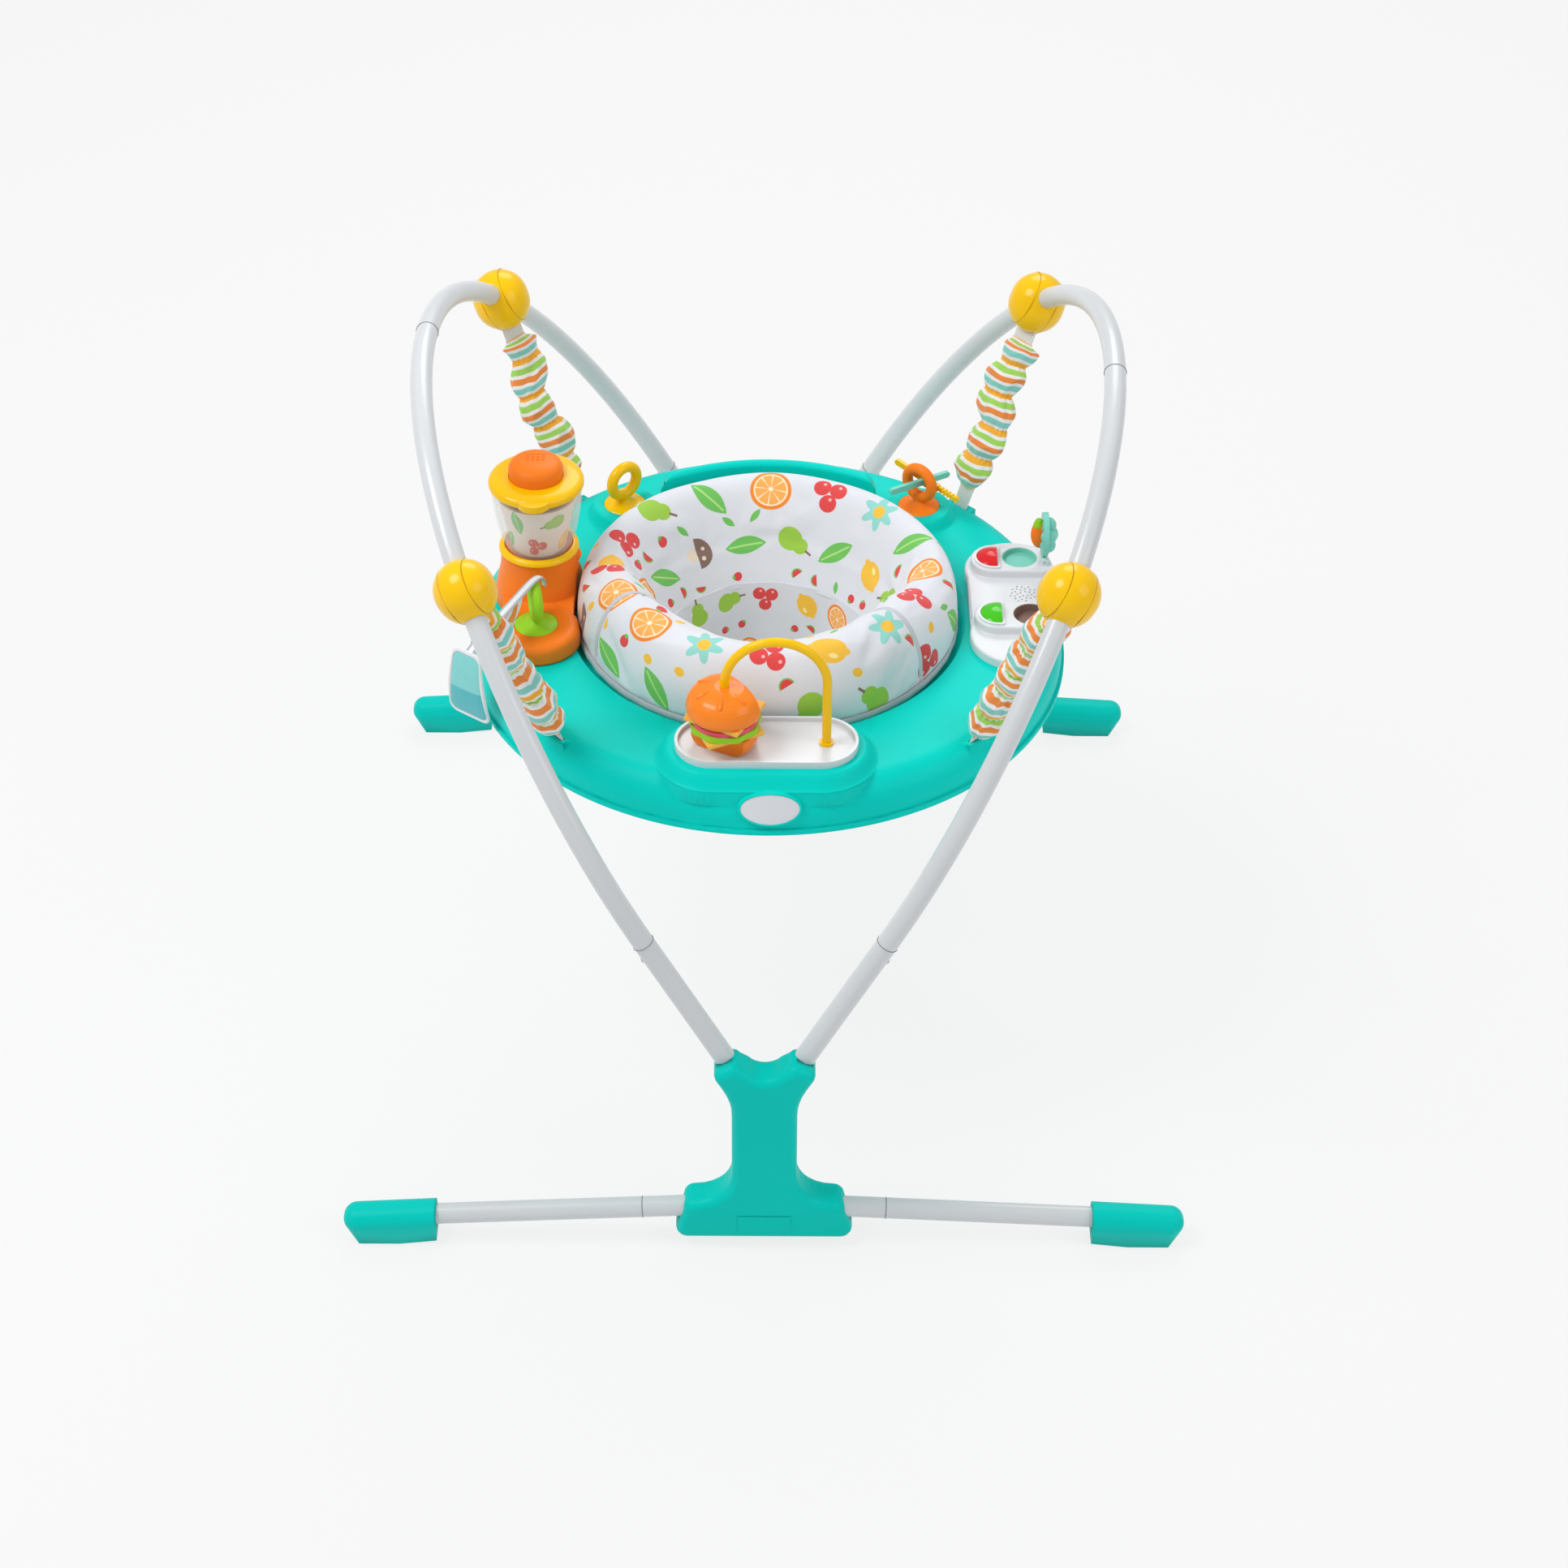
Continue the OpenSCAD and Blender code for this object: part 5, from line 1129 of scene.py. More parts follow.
class JUMPER_OT_rounds(bpy.types.Operator):
    """Smooths the rounds of the moulded pieces and softens the edges of the sound toy's housing"""

    bl_idname = "jumper.rounds"
    bl_label = "Moulded rounds"

    def execute(self, context):
        feet = [f"{end}_{side}_foot" for end in ("front", "rear") for side in ("left", "right")]
        rounds = [("front_hub_outer_shell", "frame", 30.0), ("rear_hub_outer_shell", "frame", 30.0)]
        rounds += [(foot, "frame", 50.0) for foot in feet]
        rounds += [("tray", "tray", 28.0), ("blender_base", "tray", 40.0)]
        for node, body, angle in rounds:
            slot = SLOT_OF[node]
            piece = dress(softened(node, f"{node}_moulding"), slot, body, angle)
            work(piece, "WEIGHTED_NORMAL", keep_sharp=True)
        self.housing()
        return {"FINISHED"}

    def housing(self):
        """The sound toy's housing with its decks, its foot and the joints between them rounded."""
        body = softened("sound_housing", "sound_housing_moulding")
        with edited(body):
            bpy.ops.mesh.dissolve_limited(angle_limit=math.radians(0.6))

        def on_deck(p, level):
            spine = min(max(p.x, DECK_SPINE[0]), DECK_SPINE[1])
            near = min(math.hypot(p.x - spine, p.y - y) for y in DECK_ROWS)
            return abs(p.z - level) < 0.05 and abs(near - DECK_RADIUS) < 0.1

        def on_foot(p):
            rims = [abs(math.hypot(p.x - x, p.y - y) - radius) for x, y, radius in FOOT_ROUNDS]
            rims.append(abs(p.x - FOOT_EDGE))
            return abs(p.z - FOOT_LEVEL) < 0.05 and min(rims) < 0.1

        bevel_edges(body, 2.6 * MM, lambda p: on_deck(p, DECK_LEVEL))
        bevel_edges(body, 2.4 * MM, lambda p: on_deck(p, FOOT_LEVEL))
        bevel_edges(body, 2.4 * MM, on_foot)
        dress(body, "white_plastic", "tray", 35.0)


class JUMPER_OT_joints(bpy.types.Operator):
    """Draws the fine dark lines where the halves of a ball, and two tubes, meet"""

    bl_idname = "jumper.joints"
    bl_label = "Joint lines"

    def execute(self, context):
        line = context.scene.jumper_sizes.seam_line / 2
        c = context.scene.jumper_colours
        moulded("ball_seam", shade(c.yellow, 0.5), 0.5)
        moulded("tube_joint", shade(c.tube, 0.36), 0.5)
        for side in SIDES:
            flip = Vector((side, 1, 1))
            across = Vector((math.cos(HOOP_TILT), 0, -math.sin(HOOP_TILT))) * flip
            lean = Vector((math.sin(HOOP_TILT), 0, math.cos(HOOP_TILT))) * flip
            inset = Vector((side * HOOP_INSET, 0, 0))
            for end in SIDES:
                name = corner(side, end)
                self.ball_seams(name, side, end, across, line)
                leg = Vector((0, end * LEG_JOINT[0], 0)) + lean * LEG_JOINT[1] - inset
                axis = lean - Vector((0, math.sin(LEG_SPLAY) * end, 0))
                self.tube_joint(f"leg_joint_{name}", axis, leg, line)
                way = Vector((side * math.cos(BASE_DROOP), 0, -math.sin(BASE_DROOP)))
                base = Vector((0, end * BASE_HUB[0], BASE_HUB[1])) + way * BASE_JOINT
                self.tube_joint(f"base_joint_{name}", way, base, line)
            crown = lean * (CROWN_CENTRE + CROWN_RADIUS * math.cos(CROWN_TURN)) - inset
            crown.y = -side * CROWN_RADIUS * math.sin(CROWN_TURN)
            axis = Vector((0, math.cos(CROWN_TURN), 0)) + lean * (side * math.sin(CROWN_TURN))
            self.tube_joint(f"crown_joint_{hand(side)}", axis, crown, line)
        return {"FINISHED"}

    def ball_seams(self, name, side, end, across, line):
        """The two seams beside the middle band of a ball, which is longer along its strap."""
        _, ball, _, _, along = quarter(side, end)
        stretch = Matrix.Identity(3)
        for i in range(3):
            for j in range(3):
                stretch[i][j] += BALL_STRETCH * along[i] * along[j]
        pole = stretch @ across
        for number, half_band in enumerate((-BALL_BAND, BALL_BAND), 1):
            off = half_band / pole.length
            radius = math.sqrt(BALL_RADIUS ** 2 - off * off) + 0.25 * MM
            seam = self.ring(f"ball_seam_{name}_{number}", radius, pole, pole.normalized() * off, line)
            seam.data.transform(Matrix.Translation(ball) @ stretch.to_4x4())
            dress(seam, "ball_seam", "frame", 60.0)

    def tube_joint(self, name, axis, place, line):
        """The line round a tube where the next one is pushed in."""
        joint = self.ring(name, TUBE_RADIUS, axis, place, line)
        dress(joint, "tube_joint", "frame", 60.0)

    def ring(self, name, radius, axis, place, line):
        """A flattened ring round an axis."""
        nothing()
        bpy.ops.mesh.primitive_torus_add(major_radius=radius, minor_radius=line,
                                         major_segments=96, minor_segments=8)
        made = settle(name)
        with edited(made):
            resize(1, 1, 0.7)
        turned = Vector(axis).to_track_quat("Z", "Y").to_matrix().to_4x4()
        made.data.transform(Matrix.Translation(place) @ turned)
        return made


class JUMPER_OT_straps(bpy.types.Operator):
    """Makes the four elastic straps, from the lugs on the tray to the balls on the frame"""

    bl_idname = "jumper.straps"
    bl_label = "Elastic straps"

    def execute(self, context):
        sizes = context.scene.jumper_sizes
        ribbed_webbing("webbing")
        half_w, half_t = sizes.strap_width / 2, sizes.strap_thickness / 2
        flat = (-0.92, -0.6, -0.3, 0, 0.3, 0.6, 0.92)
        section = [(-half_w, -half_t * 0.4), (-half_w, half_t * 0.4)]
        section += [(half_w * x, half_t) for x in flat]
        section += [(half_w, half_t * 0.4), (half_w, -half_t * 0.4)]
        section += [(half_w * x, -half_t) for x in flat[::-1]]
        steps = 90
        for side, end in QUARTERS:
            lug, ball, through, across, along = quarter(side, end)
            reach = (ball - lug).length - STRAP_SHORT
            rings, run, wide = [], [], []
            for i in range(steps + 1):
                s = reach * i / steps
                swell = 1 + 0.35 * min(1.0, max(0.0, (s - 0.8 * reach) / (0.1 * reach)))
                rings.append([lug + along * s + across * (u * swell) + through * v
                              for u, v in section])
                run += [s] * len(section)
                wide += [u for u, _ in section]
            strap = cloth_from_rings(f"strap_{corner(side, end)}", rings, caps=True,
                                     marks={"along": run, "across": wide})
            dress(strap, "webbing", None)
            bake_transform(strap)
            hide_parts("elastic_straps")
        return {"FINISHED"}


class JUMPER_OT_sleeves(bpy.types.Operator):
    """Makes the four gathered fabric sleeves over the straps"""

    bl_idname = "jumper.sleeves"
    bl_label = "Gathered sleeves"

    def execute(self, context):
        sizes = context.scene.jumper_sizes
        bands = [paint(238, 140, 62), paint(160, 214, 92), paint(246, 176, 44), paint(134, 208, 198)]
        striped_cloth("sleeve_fabric", sizes.stripe_pitch, bands)
        for side, end in QUARTERS:
            self.sleeve(sizes, side, end)
        return {"FINISHED"}

    def sleeve(self, sizes, side, end):
        """One sleeve: puffs between gathered rows, loose folds, and ends that hug the strap."""
        lug, ball, through, across, along = quarter(side, end)
        front = end < 0
        start = sizes.sleeve_start + (0 if front else 12 * MM)
        stop = sizes.sleeve_end + (9 * MM if front else 0)
        full = 1.14 if front else 1.0
        bow = (5.0 if front else 7.0) * MM * (side * end)
        at, bearing, amount, spread = SLEEVE_FLARES[side, end]
        seed = Vector((3.1 * side, 5.7 * end, 1.3))
        half_w, half_d = sizes.sleeve_width / 2, sizes.sleeve_depth / 2
        bearings = circle(SLEEVE_SIDES)
        rings, run, wide = [], [], []
        for i in range(SLEEVE_STEPS + 1):
            t = i / SLEEVE_STEPS
            s = start + (stop - start) * t
            drift = 7 * MM * noise.noise(Vector((s * 24, 0.3, 0.7)) + seed)
            row = abs(math.sin(math.pi * (s - start + drift) / sizes.shirr_pitch))
            gather = math.exp(-(row / 0.34) ** 2)
            puff = 0.70 + 0.36 * row ** 0.8
            taper = min(1.0, 0.52 + 0.48 * (t / 0.12))
            # At its ends the sleeve draws in to the strap, and its stripes run on over the end.
            hug = eased((t - 0.95) / 0.04) + eased((0.035 - t) / 0.035)
            hug_width, stripes_on = (14.8 * MM, 11 * MM) if t > 0.5 else (11.2 * MM, -8 * MM)
            sway = bow * math.sin(math.pi * t) * math.sin(3.1 * math.pi * t + side)
            middle = lug + along * s + across * sway
            stand = amount * math.exp(-((t - at) / spread) ** 2)
            ring = []
            for a in bearings:
                c, d = math.cos(a), math.sin(a)
                near = noise.noise(Vector((c * 1.3, d * 1.3, s * 27)) + seed)
                fine = noise.noise(Vector((c * 3.2, d * 3.2, s * 70 + a * 0.8)) + seed)
                crease = -abs(noise.noise(Vector((c * 1.4, d * 1.4, s * 42)) - seed))
                pleat = math.sin(15 * a + 4 * near) * 0.045 * gather
                loose = (0.24 * near + 0.02 * fine + 0.26 * crease + 0.06) * (1 - 0.7 * gather)
                r = full * taper * (puff + pleat + loose)
                r *= 1 + stand * max(0.0, math.cos(a - bearing)) ** 3
                slip = 4.0 * MM * near + 1.6 * MM * math.sin(a + 24 * s)
                slip *= min(1.0, t / 0.08, (1 - t) / 0.08) * (0.35 + 0.65 * row)
                w = r * half_w * (1 - hug) + hug_width * hug
                h = r * half_d * (1 - hug) + HUG_DEPTH * hug
                ring.append(middle + across * (w * d) + through * (h * c) + along * slip)
                run.append(s + stripes_on * hug)
                wide.append(a * 15 * MM)
            rings.append(ring)
        sleeve = cloth_from_rings(f"sleeve_{corner(side, end)}", rings,
                                  marks={"along": run, "across": wide})
        dress(sleeve, "sleeve_fabric", None, 180.0)
        work(sleeve, "SOLIDIFY", thickness=1.2 * MM, offset=-1)
        flat_length = stop - start
        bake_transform(sleeve)
        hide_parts("strap_sleeves")
        cloth_area(sleeve) / flat_length


class JUMPER_OT_cushion(bpy.types.Operator):
    """Makes the padded ring of the seat with its binding tape and two taped seams"""

    bl_idname = "jumper.cushion"
    bl_label = "Padded seat ring"

    def execute(self, context):
        sizes = context.scene.jumper_sizes
        c = context.scene.jumper_colours
        printed_cloth("seat_fabric", c.cloth, sizes.print_pitch, PRINTS)
        bound_tape("binding_tape", c.tape)
        bound_tape("seam_tape", shade(c.tape, 1.16))
        self.cover(sizes)
        self.binding(sizes)
        for number, seam in enumerate(SEAM_TURNS, 1):
            self.seam(sizes, f"seat_seam_{number}", seam)
        return {"FINISHED"}

    def cover(self, sizes):
        """The stuffed cover, pinned along its underside and seams while it billows."""
        count = sizes.cushion_sections
        rings, marks, pins = [], [], []
        for i in range(count):
            turn = 360 * i / count
            section = ring_section(turn)
            ring = [ring_point(sizes, turn, s, h, seam_tuck(turn, h)) for s, h in section]
            marks += run_lengths(ring)
            sewn = seam_tuck(turn, 1) > 0.05
            pins += [i * len(section) + j for j, (_, h) in enumerate(section) if h < UNDERSIDE or sewn]
            rings.append(ring)
        cushion = cloth_from_rings("seat_cushion_cover", rings, closed_along=True,
                                   marks={"down": marks})
        billow(cushion, pins, pressure=2.0, grow=0.03, cap=2.6 * MM)
        dress(cushion, "seat_fabric", None, 180.0)
        work(cushion, "SUBSURF", levels=1, render_levels=1)
        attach(cushion, "seat")
        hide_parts("seat_cushion")

    def binding(self, sizes):
        """The binding tape round the foot of the cover."""
        outer = sizes.cushion_outer
        band, run, wide = [], [], []
        for a in circle(sizes.cushion_sections):
            pucker = 0.25 * MM * math.sin(47 * a) + 0.2 * MM * math.sin(31 * a + 1)
            band.append([at_bearing(outer + out * MM + pucker, a, sizes.cushion_base + up * MM)
                         for out, up, _ in BINDING_SECTION])
            run += [a * outer] * len(BINDING_SECTION)
            wide += [mark for _, _, mark in BINDING_SECTION]
        binding = cloth_from_rings("seat_binding", band, closed_along=True,
                                   marks={"along": run, "across": wide})
        dress(binding, "binding_tape", "seat", 60.0)
        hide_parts("seat_cushion")

    def seam(self, sizes, name, seam):
        """The tape over a seam, from the foot of the cover over its top and down inside."""
        strip, wide = [], []
        for s, h in ring_section(seam)[:INNER_END * SECTION_STEPS]:
            if h <= 0.06:
                continue
            ring = []
            for off, rise, mark in SEAM_SECTION:
                turn = seam + math.degrees(off * MM / SEAM_REACH)
                place = ring_point(sizes, turn, s, h, seam_tuck(turn, h))
                core = ring_point(sizes, turn, *RING_CORE, 0)
                ring.append(place + (place - core).normalized() * (rise * MM))
                wide.append(mark)
            strip.append(ring)
        crest = [ring[3] for ring in strip]
        run = [gone for gone in run_lengths(crest) for _ in SEAM_SECTION]
        tape = cloth_from_rings(name, strip, caps=True, marks={"along": run, "across": wide})
        dress(tape, "seam_tape", "seat", 60.0)
        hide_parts("seat_cushion")


class JUMPER_OT_bucket(bpy.types.Operator):
    """Makes the fabric bucket that hangs in the padded ring, with its two bound leg holes"""

    bl_idname = "jumper.bucket"
    bl_label = "Fabric bucket"

    def execute(self, context):
        sizes = context.scene.jumper_sizes
        rim = sizes.cushion_base + BUCKET_RISE
        height = rim - sizes.bucket_depth * LEG_LEVEL
        self.cloth(sizes, rim, height)
        for side in SIDES:
            self.leg_binding(sizes, side, rim, height)
        return {"FINISHED"}

    def cloth(self, sizes, rim, height):
        """The bucket's cloth with its leg holes; its print goes on from the padded ring's."""
        inner, depth = sizes.cushion_inner, sizes.bucket_depth
        run = [(s, d) for s, d in smooth_run(BUCKET_SHARES, 6) if d > BUCKET_TOP]
        foot = BUCKET_SHARES[-1][0]
        floor = [(foot * (1 - k / 6), 1.0 + 0.012 * math.sin(math.pi / 2 * k / 6)) for k in range(1, 7)]
        run += [(max(s, 0.012), d) for s, d in floor]
        width, rise = sizes.cushion_outer - inner, sizes.cushion_height
        slope = [(s * width, h * rise, 0) for s, h in ring_section(90)[:INNER_END * SECTION_STEPS + 1]]
        printed_from = run_lengths(slope)[-1] - 6 * MM
        down = run_lengths([(s * inner, d * depth, 0) for s, d in run])
        bearings = circle(144)
        rings = [[at_bearing(bucket_reach(sizes, a, s, d), a, rim - depth * d) for a in bearings]
                 for s, d in run]
        marks = [printed_from + gone for gone in down for _ in bearings]
        bucket = cloth_from_rings("seat_bucket_cloth", rings, marks={"down": marks})
        work(bucket, "SOLIDIFY", thickness=sizes.cloth_thickness, offset=1)
        for side in SIDES:
            nothing()
            turn = LEG_TURN * side
            way = Vector((math.sin(turn), -math.cos(turn), 0))
            bpy.ops.mesh.primitive_cylinder_add(
                vertices=96, radius=sizes.leg_hole_radius, depth=inner,
                location=way * (inner * 0.95) + Vector((0, 0, height)), rotation=(math.pi / 2, 0, turn))
            cutter = settle("leg_hole_cutter")
            work(bucket, "BOOLEAN", operation="DIFFERENCE", solver="EXACT", object=cutter)
            bpy.data.objects.remove(cutter)
        dress(bucket, "seat_fabric", "seat", 50.0)
        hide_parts("seat_bucket")

    def leg_binding(self, sizes, side, rim, height):
        """The rolled binding round a leg hole, on the bucket's wall."""
        radius = sizes.leg_hole_radius
        turn = LEG_TURN * side
        way = Vector((math.sin(turn), -math.cos(turn), 0))
        level = Vector((math.cos(turn), math.sin(turn), 0))
        up = Vector((0, 0, 1))
        rings, run, wide = [], [], []
        for a in circle(96):
            z = height + radius * math.sin(a)
            out = radius * math.cos(a)
            deep = (rim - z) / sizes.bucket_depth
            share = next(s0 + (s1 - s0) * (deep - d0) / (d1 - d0) for (s0, d0), (s1, d1)
                         in zip(BUCKET_SHARES, BUCKET_SHARES[1:]) if d0 <= deep <= d1)
            guess = way * chord(sizes.cushion_inner * share, out) + level * out
            bearing = math.atan2(guess.y, guess.x)
            r = bucket_reach(sizes, bearing, share, deep) + sizes.cloth_thickness / 2
            centre = way * chord(r, out) + level * out + up * z
            outward = level * math.cos(a) + up * math.sin(a)
            ring = []
            for b in circle(10):
                ring.append(centre + outward * (4.2 * MM * math.cos(b))
                            + way * (3.0 * MM * math.sin(b)))
                run.append(a * radius)
                wide.append(0.5 * math.cos(b))
            rings.append(ring)
        binding = cloth_from_rings(f"leg_binding_{hand(side)}", rings, closed_along=True,
                                   marks={"along": run, "across": wide})
        dress(binding, "binding_tape", "seat", 180.0)
        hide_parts("seat_bucket")


class JUMPER_OT_tag(bpy.types.Operator):
    """Makes the padded tag and the white ribbon that hangs it on the green loop"""

    bl_idname = "jumper.tag"
    bl_label = "Hang tag"

    def execute(self, context):
        sizes = context.scene.jumper_sizes
        ribbon_cloth("white_ribbon")
        leaf_cloth("leaf_cloth")
        plush_cloth("tag_fabric")
        bound_tape("white_tape", paint(238, 239, 242))
        self.ribbon()
        self.leaf()
        self.card(sizes)
        return {"FINISHED"}

    def spot(self, away, aside, rise):
        """The point at those distances from the loop's top: away from it, aside and up."""
        out = Vector((math.cos(TAG_TURN), math.sin(TAG_TURN), 0))
        across = Vector((-math.sin(TAG_TURN), math.cos(TAG_TURN), 0))
        return TAG_TOP + out * away + across * aside + Vector((0, 0, rise))

    def ribbon(self):
        """The ribbon over the loop, slightly cupped and wider towards the tag."""
        path = smooth_run(RIBBON_ROUTE, 10)
        run_at = run_lengths([(a, b, 0) for a, b in path])
        rings, run, wide = [], [], []
        for i, (a, b) in enumerate(path):
            before, after = path[max(i - 1, 0)], path[min(i + 1, len(path) - 1)]
            way = Vector((after[0] - before[0], after[1] - before[1])).normalized()
            half = (3.2 + 2.6 * i / len(path)) * MM
            ring = []
            for u in (-1, -0.6, -0.2, 0.2, 0.6, 1):
                cup = 0.8 * MM * (1 - u * u)
                ring.append(self.spot(a * MM - way.y * cup, u * half, b * MM + way.x * cup))
                run.append(run_at[i] * MM)
                wide.append(u * half)
            rings.append(ring)
        ribbon = cloth_from_rings("tag_ribbon", rings, closed_round=False,
                                  marks={"along": run, "across": wide})
        work(ribbon, "SOLIDIFY", thickness=1.1 * MM, offset=0)
        dress(ribbon, "white_ribbon", "hang_tag", 50.0)
        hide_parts("hang_tag")

    def leaf(self):
        """A small three-cornered leaf of bound cloth that hangs under the ribbon."""
        corners = LEAF_CORNERS
        middle = [sum(values) / 3 for values in zip(*corners)]
        outline = smooth_run([point for (a, b), (c, d) in zip(corners, corners[1:] + corners[:1])
                              for point in ((a, b), (a * 0.6 + c * 0.4, b * 0.6 + d * 0.4))],
                             6, closed=True)
        rings, level_at = [], []
        for level in (1.0, 0.94, 0.84, 0.72, 0.6, 0.44, 0.26, 0.08):
            ring = []
            for point in outline:
                x, z = (m + (p - m) * level for p, m in zip(point, middle))
                curl = 2.2 * math.sin(x * 0.16) + 1.2 * math.sin(z * 0.22)
                ring.append(self.spot(x * MM, curl * MM, z * MM))
                level_at.append(level)
            rings.append(ring)
        leaf = cloth_from_rings("tag_leaf", rings, marks={"across": level_at})
        work(leaf, "SOLIDIFY", thickness=1.4 * MM, offset=0)
        dress(leaf, "leaf_cloth", "hang_tag", 60.0)
        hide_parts("hang_tag")

    def card(self, sizes):
        """The padded card at the ribbon's end, and the binding round its edge."""
        height, half_width, round_by = sizes.tag_height, sizes.tag_width / 2, 9 * MM
        away, rise = (value * MM for value in RIBBON_ROUTE[-1])
        outline = []
        for cx, cz, start in (
                (half_width - round_by, -height + round_by, -90),
                (sizes.tag_width * 0.36 - round_by, -round_by, 0),
                (-sizes.tag_width * 0.36 + round_by, -round_by, 90),
                (-half_width + round_by, -height + round_by, 180)):
            for k in range(9):
                a = math.radians(start + 90 * k / 8)
                outline.append((cx + round_by * math.cos(a), cz + round_by * math.sin(a)))
        edge = []
        for (x0, z0), (x1, z1) in zip(outline, outline[1:] + outline[:1]):
            parts = max(1, int(math.hypot(x1 - x0, z1 - z0) / (3 * MM)))
            edge += [(x0 + (x1 - x0) * k / parts, z0 + (z1 - z0) * k / parts) for k in range(parts)]
        heart = -height * 0.53

        def on_card(x, z, proud):
            sway = 4 * MM * math.sin(math.pi * (z / height))
            return self.spot(away + proud - sway, x, rise + 4.5 * MM + z)

        rings = []
        levels = (1.0, 0.985, 0.94, 0.86, 0.74, 0.58, 0.4, 0.2, 0.03)
        for sign, order in ((-1, levels[::-1]), (1, levels)):
            for level in order:
                puff = sizes.tag_thickness / 2 * (1 - level ** 5) ** 0.5 * (0.8 + 0.2 * (1 - level))
                ring = []
                for x, z in edge:
                    px, pz = x * level, heart + (z - heart) * level
                    crease = 0.35 * MM * noise.noise(Vector((px * 90, pz * 90, sign * 3.0)))
                    ring.append(on_card(px, pz, sign * puff + crease * (1 - level)))
                rings.append(ring)
        card = cloth_from_rings("tag_card", rings, caps=True)
        dress(card, "tag_fabric", "hang_tag", 180.0)
        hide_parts("hang_tag")
        rings, run, wide = [], [], []
        for (x, z), gone in zip(edge, run_lengths([(x, z, 0) for x, z in edge])):
            way = Vector((x, z - heart)).normalized()
            ring = []
            for b in circle(12):
                r = 2.3 * MM * math.cos(b)
                ring.append(on_card(x + way.x * r, z + way.y * r, 1.9 * MM * math.sin(b)))
                run.append(gone)
                wide.append(0.5 * math.cos(b))
            rings.append(ring)
        binding = cloth_from_rings("tag_binding", rings, closed_along=True,
                                   marks={"along": run, "across": wide})
        dress(binding, "white_tape", "hang_tag", 180.0)
        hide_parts("hang_tag")


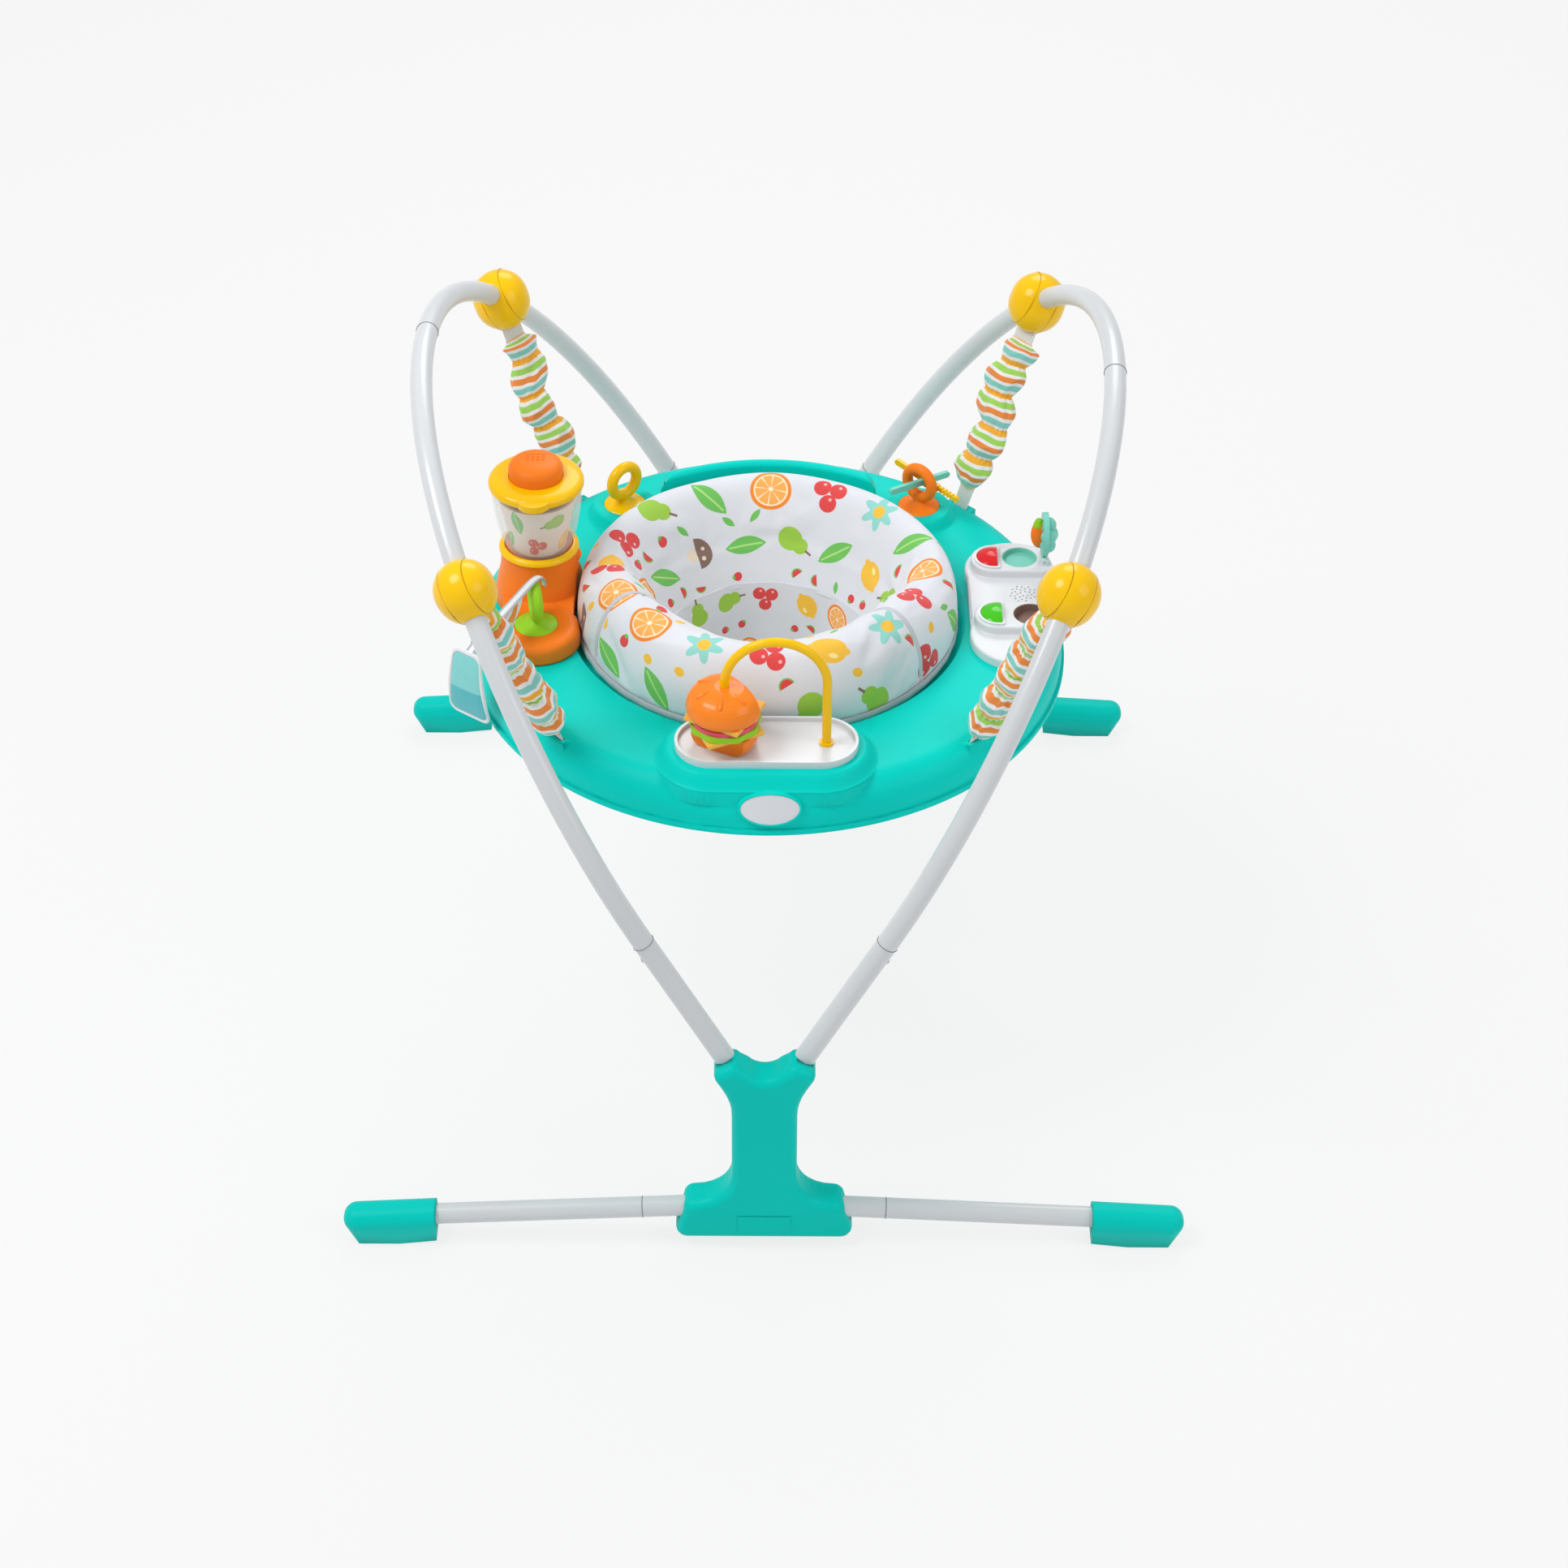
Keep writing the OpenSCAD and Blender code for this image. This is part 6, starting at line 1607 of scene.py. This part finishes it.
class JUMPER_OT_trim(bpy.types.Operator):
    """Makes the small trim: oval plate, bun seeds, coloured dishes, carrot and button dots"""

    bl_idname = "jumper.trim"
    bl_label = "Small trim"

    def execute(self, context):
        sizes = context.scene.jumper_sizes
        self.badge(sizes)
        self.seeds(sizes)
        self.dishes()
        self.carrot()
        self.dots()
        return {"FINISHED"}

    def badge(self, sizes):
        """An oval plate and the thin raised rim round it, each drawn flat and laid round the skirt."""
        moulded("badge_plastic", paint(226, 228, 232), 0.25, coat=0.3)
        plate = self.oval("badge_plate", sizes, (
            (1.0, 0.1), (0.97, 0.45), (0.9, 0.55), (0.6, 0.6), (0.3, 0.6), (0.02, 0.6)))
        dress(plate, "badge_plastic", "tray", 30.0)
        rim = self.oval("badge_rim", sizes, (
            (1.087, 0.2), (1.075, 0.9), (1.055, 1.1), (1.02, 1.1), (1.0, 0.9), (1.0, -7.0)))
        dress(rim, "tray_plastic", "tray", 30.0)

    def oval(self, name, sizes, face):
        """An oval block laid round the skirt; its face has shares of the size at heights in mm."""
        nothing()
        share, height = face[0]
        bpy.ops.mesh.primitive_cylinder_add(vertices=72, radius=share, depth=(height - BADGE_ROOT) * MM,
                                            location=(0, 0, (height + BADGE_ROOT) / 2 * MM))
        block = settle(name)
        with edited(block, "FACE", faces_up):
            for next_share, next_height in face[1:]:
                raise_up((next_height - height) * MM)
                resize(next_share / share, next_share / share, 1)
                share, height = next_share, next_height
        for vertex in block.data.vertices:
            up = vertex.co.y * sizes.badge_half_height
            reach = SKIRT_REACH - (up - sizes.badge_half_height) * SKIRT_SLOPE + vertex.co.z
            turn = (vertex.co.x * sizes.badge_half_width + BADGE_PLACE[0]) / reach
            vertex.co = (reach * math.sin(turn), -reach * math.cos(turn), BADGE_PLACE[1] + up)
        return block

    def seeds(self, sizes):
        """Long seeds raised on the bun's crown, modelled once and copied."""
        nothing()
        bpy.ops.mesh.primitive_uv_sphere_add(segments=24, ring_count=14, radius=1)
        first = settle("bun_seed_1")
        half = sizes.seed_length / 2
        with edited(first):
            resize(half, half * 0.46, 1.9 * MM)
            resize(1.12, 0.8, 0.9, centre=(half * 0.1, 0, 0))
        for seed, (share, turn) in zip(copies(first, len(SEED_SPOTS)), SEED_SPOTS):
            (s0, h0), (s1, h1) = next((low, high) for low, high in zip(BUN_CROWN, BUN_CROWN[1:])
                                      if high[0] <= share <= low[0])
            rise = h0 + (h1 - h0) * (share - s0) / (s1 - s0)
            slope = math.atan2((h1 - h0) * BUN_HEIGHT, (s0 - s1) * BUN_RADIUS)
            a = math.radians(turn)
            turned = Matrix.Rotation(a, 4, "Z") @ Matrix.Rotation(slope, 4, "Y")
            place = BUN_FOOT + at_bearing(share * BUN_RADIUS, a, rise * BUN_HEIGHT)
            seed.data.transform(Matrix.Translation(place) @ turned)
            dress(seed, "bun_plastic", "burger_top", 180.0)

    def dishes(self):
        """The coloured dishes of the sound toy's decks, the second deep enough for its flap's drop."""
        for name, finish, x, y, depth in DISHES:
            nothing()
            bpy.ops.mesh.primitive_cylinder_add(vertices=72, radius=18.6 * MM, depth=9 * MM)
            dish = settle(name)
            with edited(dish, "FACE", faces_up):
                bpy.ops.mesh.inset(thickness=1.0 * MM)
                raise_up(-depth * MM)
                bpy.ops.mesh.inset(thickness=0.8 * MM)
            dish.data.transform(Matrix.Translation((x * MM, y * MM, DISH_LEVEL)))
            work(dish, "BEVEL", width=0.4 * MM, segments=3, limit_method="ANGLE")
            dress(dish, finish, "tray", 30.0)

    def carrot(self):
        """A plump carrot with a leafy tip, raised on the mint flap's face."""
        nothing()
        bpy.ops.mesh.primitive_uv_sphere_add(segments=32, ring_count=24, radius=1)
        root = settle("flap_carrot")
        with edited(root):
            resize(10.4 * MM, 9.4 * MM, 17.0 * MM)
            resize(0.97, 0.88, 1.02, centre=(0, 0, -2 * MM))
        root.data.transform(Matrix.Translation(CARROT))
        dress(root, "orange_plastic", "mint_flap", 180.0)
        nothing()
        bpy.ops.mesh.primitive_cone_add(vertices=32, radius1=7.0 * MM, radius2=3.0 * MM, depth=9 * MM)
        leaf = settle("flap_carrot_leaf")
        with edited(leaf):
            bpy.ops.mesh.bevel(offset=1.6 * MM, segments=3, affect="EDGES")
            resize(0.95, 1, 1)
        leaf.data.transform(Matrix.Translation(CARROT_LEAF))
        dress(leaf, "lime_plastic", "mint_flap", 40.0)

    def dots(self):
        """Rows of small raised dots on the blender's push button, modelled once and copied."""
        nothing()
        bpy.ops.mesh.primitive_cylinder_add(vertices=20, radius=1.5 * MM, depth=1.2 * MM)
        first = settle("button_dot_1")
        with edited(first, "FACE", faces_up):
            raise_up(0.35 * MM)
            resize(0.6, 0.6, 1)
        spots = [(5.4 * (column - 1.5), 5.0 * row) for row in range(3) for column in range(4)]
        for dot, (x, y) in zip(copies(first, len(spots)), spots):
            lie = Vector((2 * BUTTON_SAG * x, 2 * BUTTON_SAG * y, 1)).to_track_quat("Z", "Y")
            place = Vector((x, y, -BUTTON_SAG * math.hypot(x, y) ** 2)) * MM + BUTTON_TOP
            dot.data.transform(Matrix.Translation(place) @ lie.to_matrix().to_4x4())
            dress(dot, "orange_plastic", "blender_button", 60.0)


class JUMPER_PT_panel(bpy.types.Panel):
    """Lists the steps that dress the jumper"""

    bl_idname = "JUMPER_PT_panel"
    bl_label = "Baby jumper"
    bl_space_type = "VIEW_3D"
    bl_region_type = "UI"
    bl_category = "Jumper"

    def draw(self, context):
        for operator in OPERATORS:
            self.layout.operator(operator.bl_idname)


OPERATORS = (
    JUMPER_OT_stage, JUMPER_OT_finishes, JUMPER_OT_rounds, JUMPER_OT_joints, JUMPER_OT_straps,
    JUMPER_OT_sleeves, JUMPER_OT_cushion, JUMPER_OT_bucket, JUMPER_OT_tag, JUMPER_OT_trim,
)
CLASSES = (JumperSizes, JumperColours, *OPERATORS, JUMPER_PT_panel)


def register():
    for cls in CLASSES:
        bpy.utils.register_class(cls)
    bpy.types.Scene.jumper_sizes = PointerProperty(type=JumperSizes)
    bpy.types.Scene.jumper_colours = PointerProperty(type=JumperColours)


def unregister():
    del bpy.types.Scene.jumper_colours
    del bpy.types.Scene.jumper_sizes
    for cls in reversed(CLASSES):
        bpy.utils.unregister_class(cls)


def main():
    register()
    for operator in OPERATORS:
        group, step = operator.bl_idname.split(".")
        getattr(getattr(bpy.ops, group), step)()


if __name__ == "__main__":
    main()
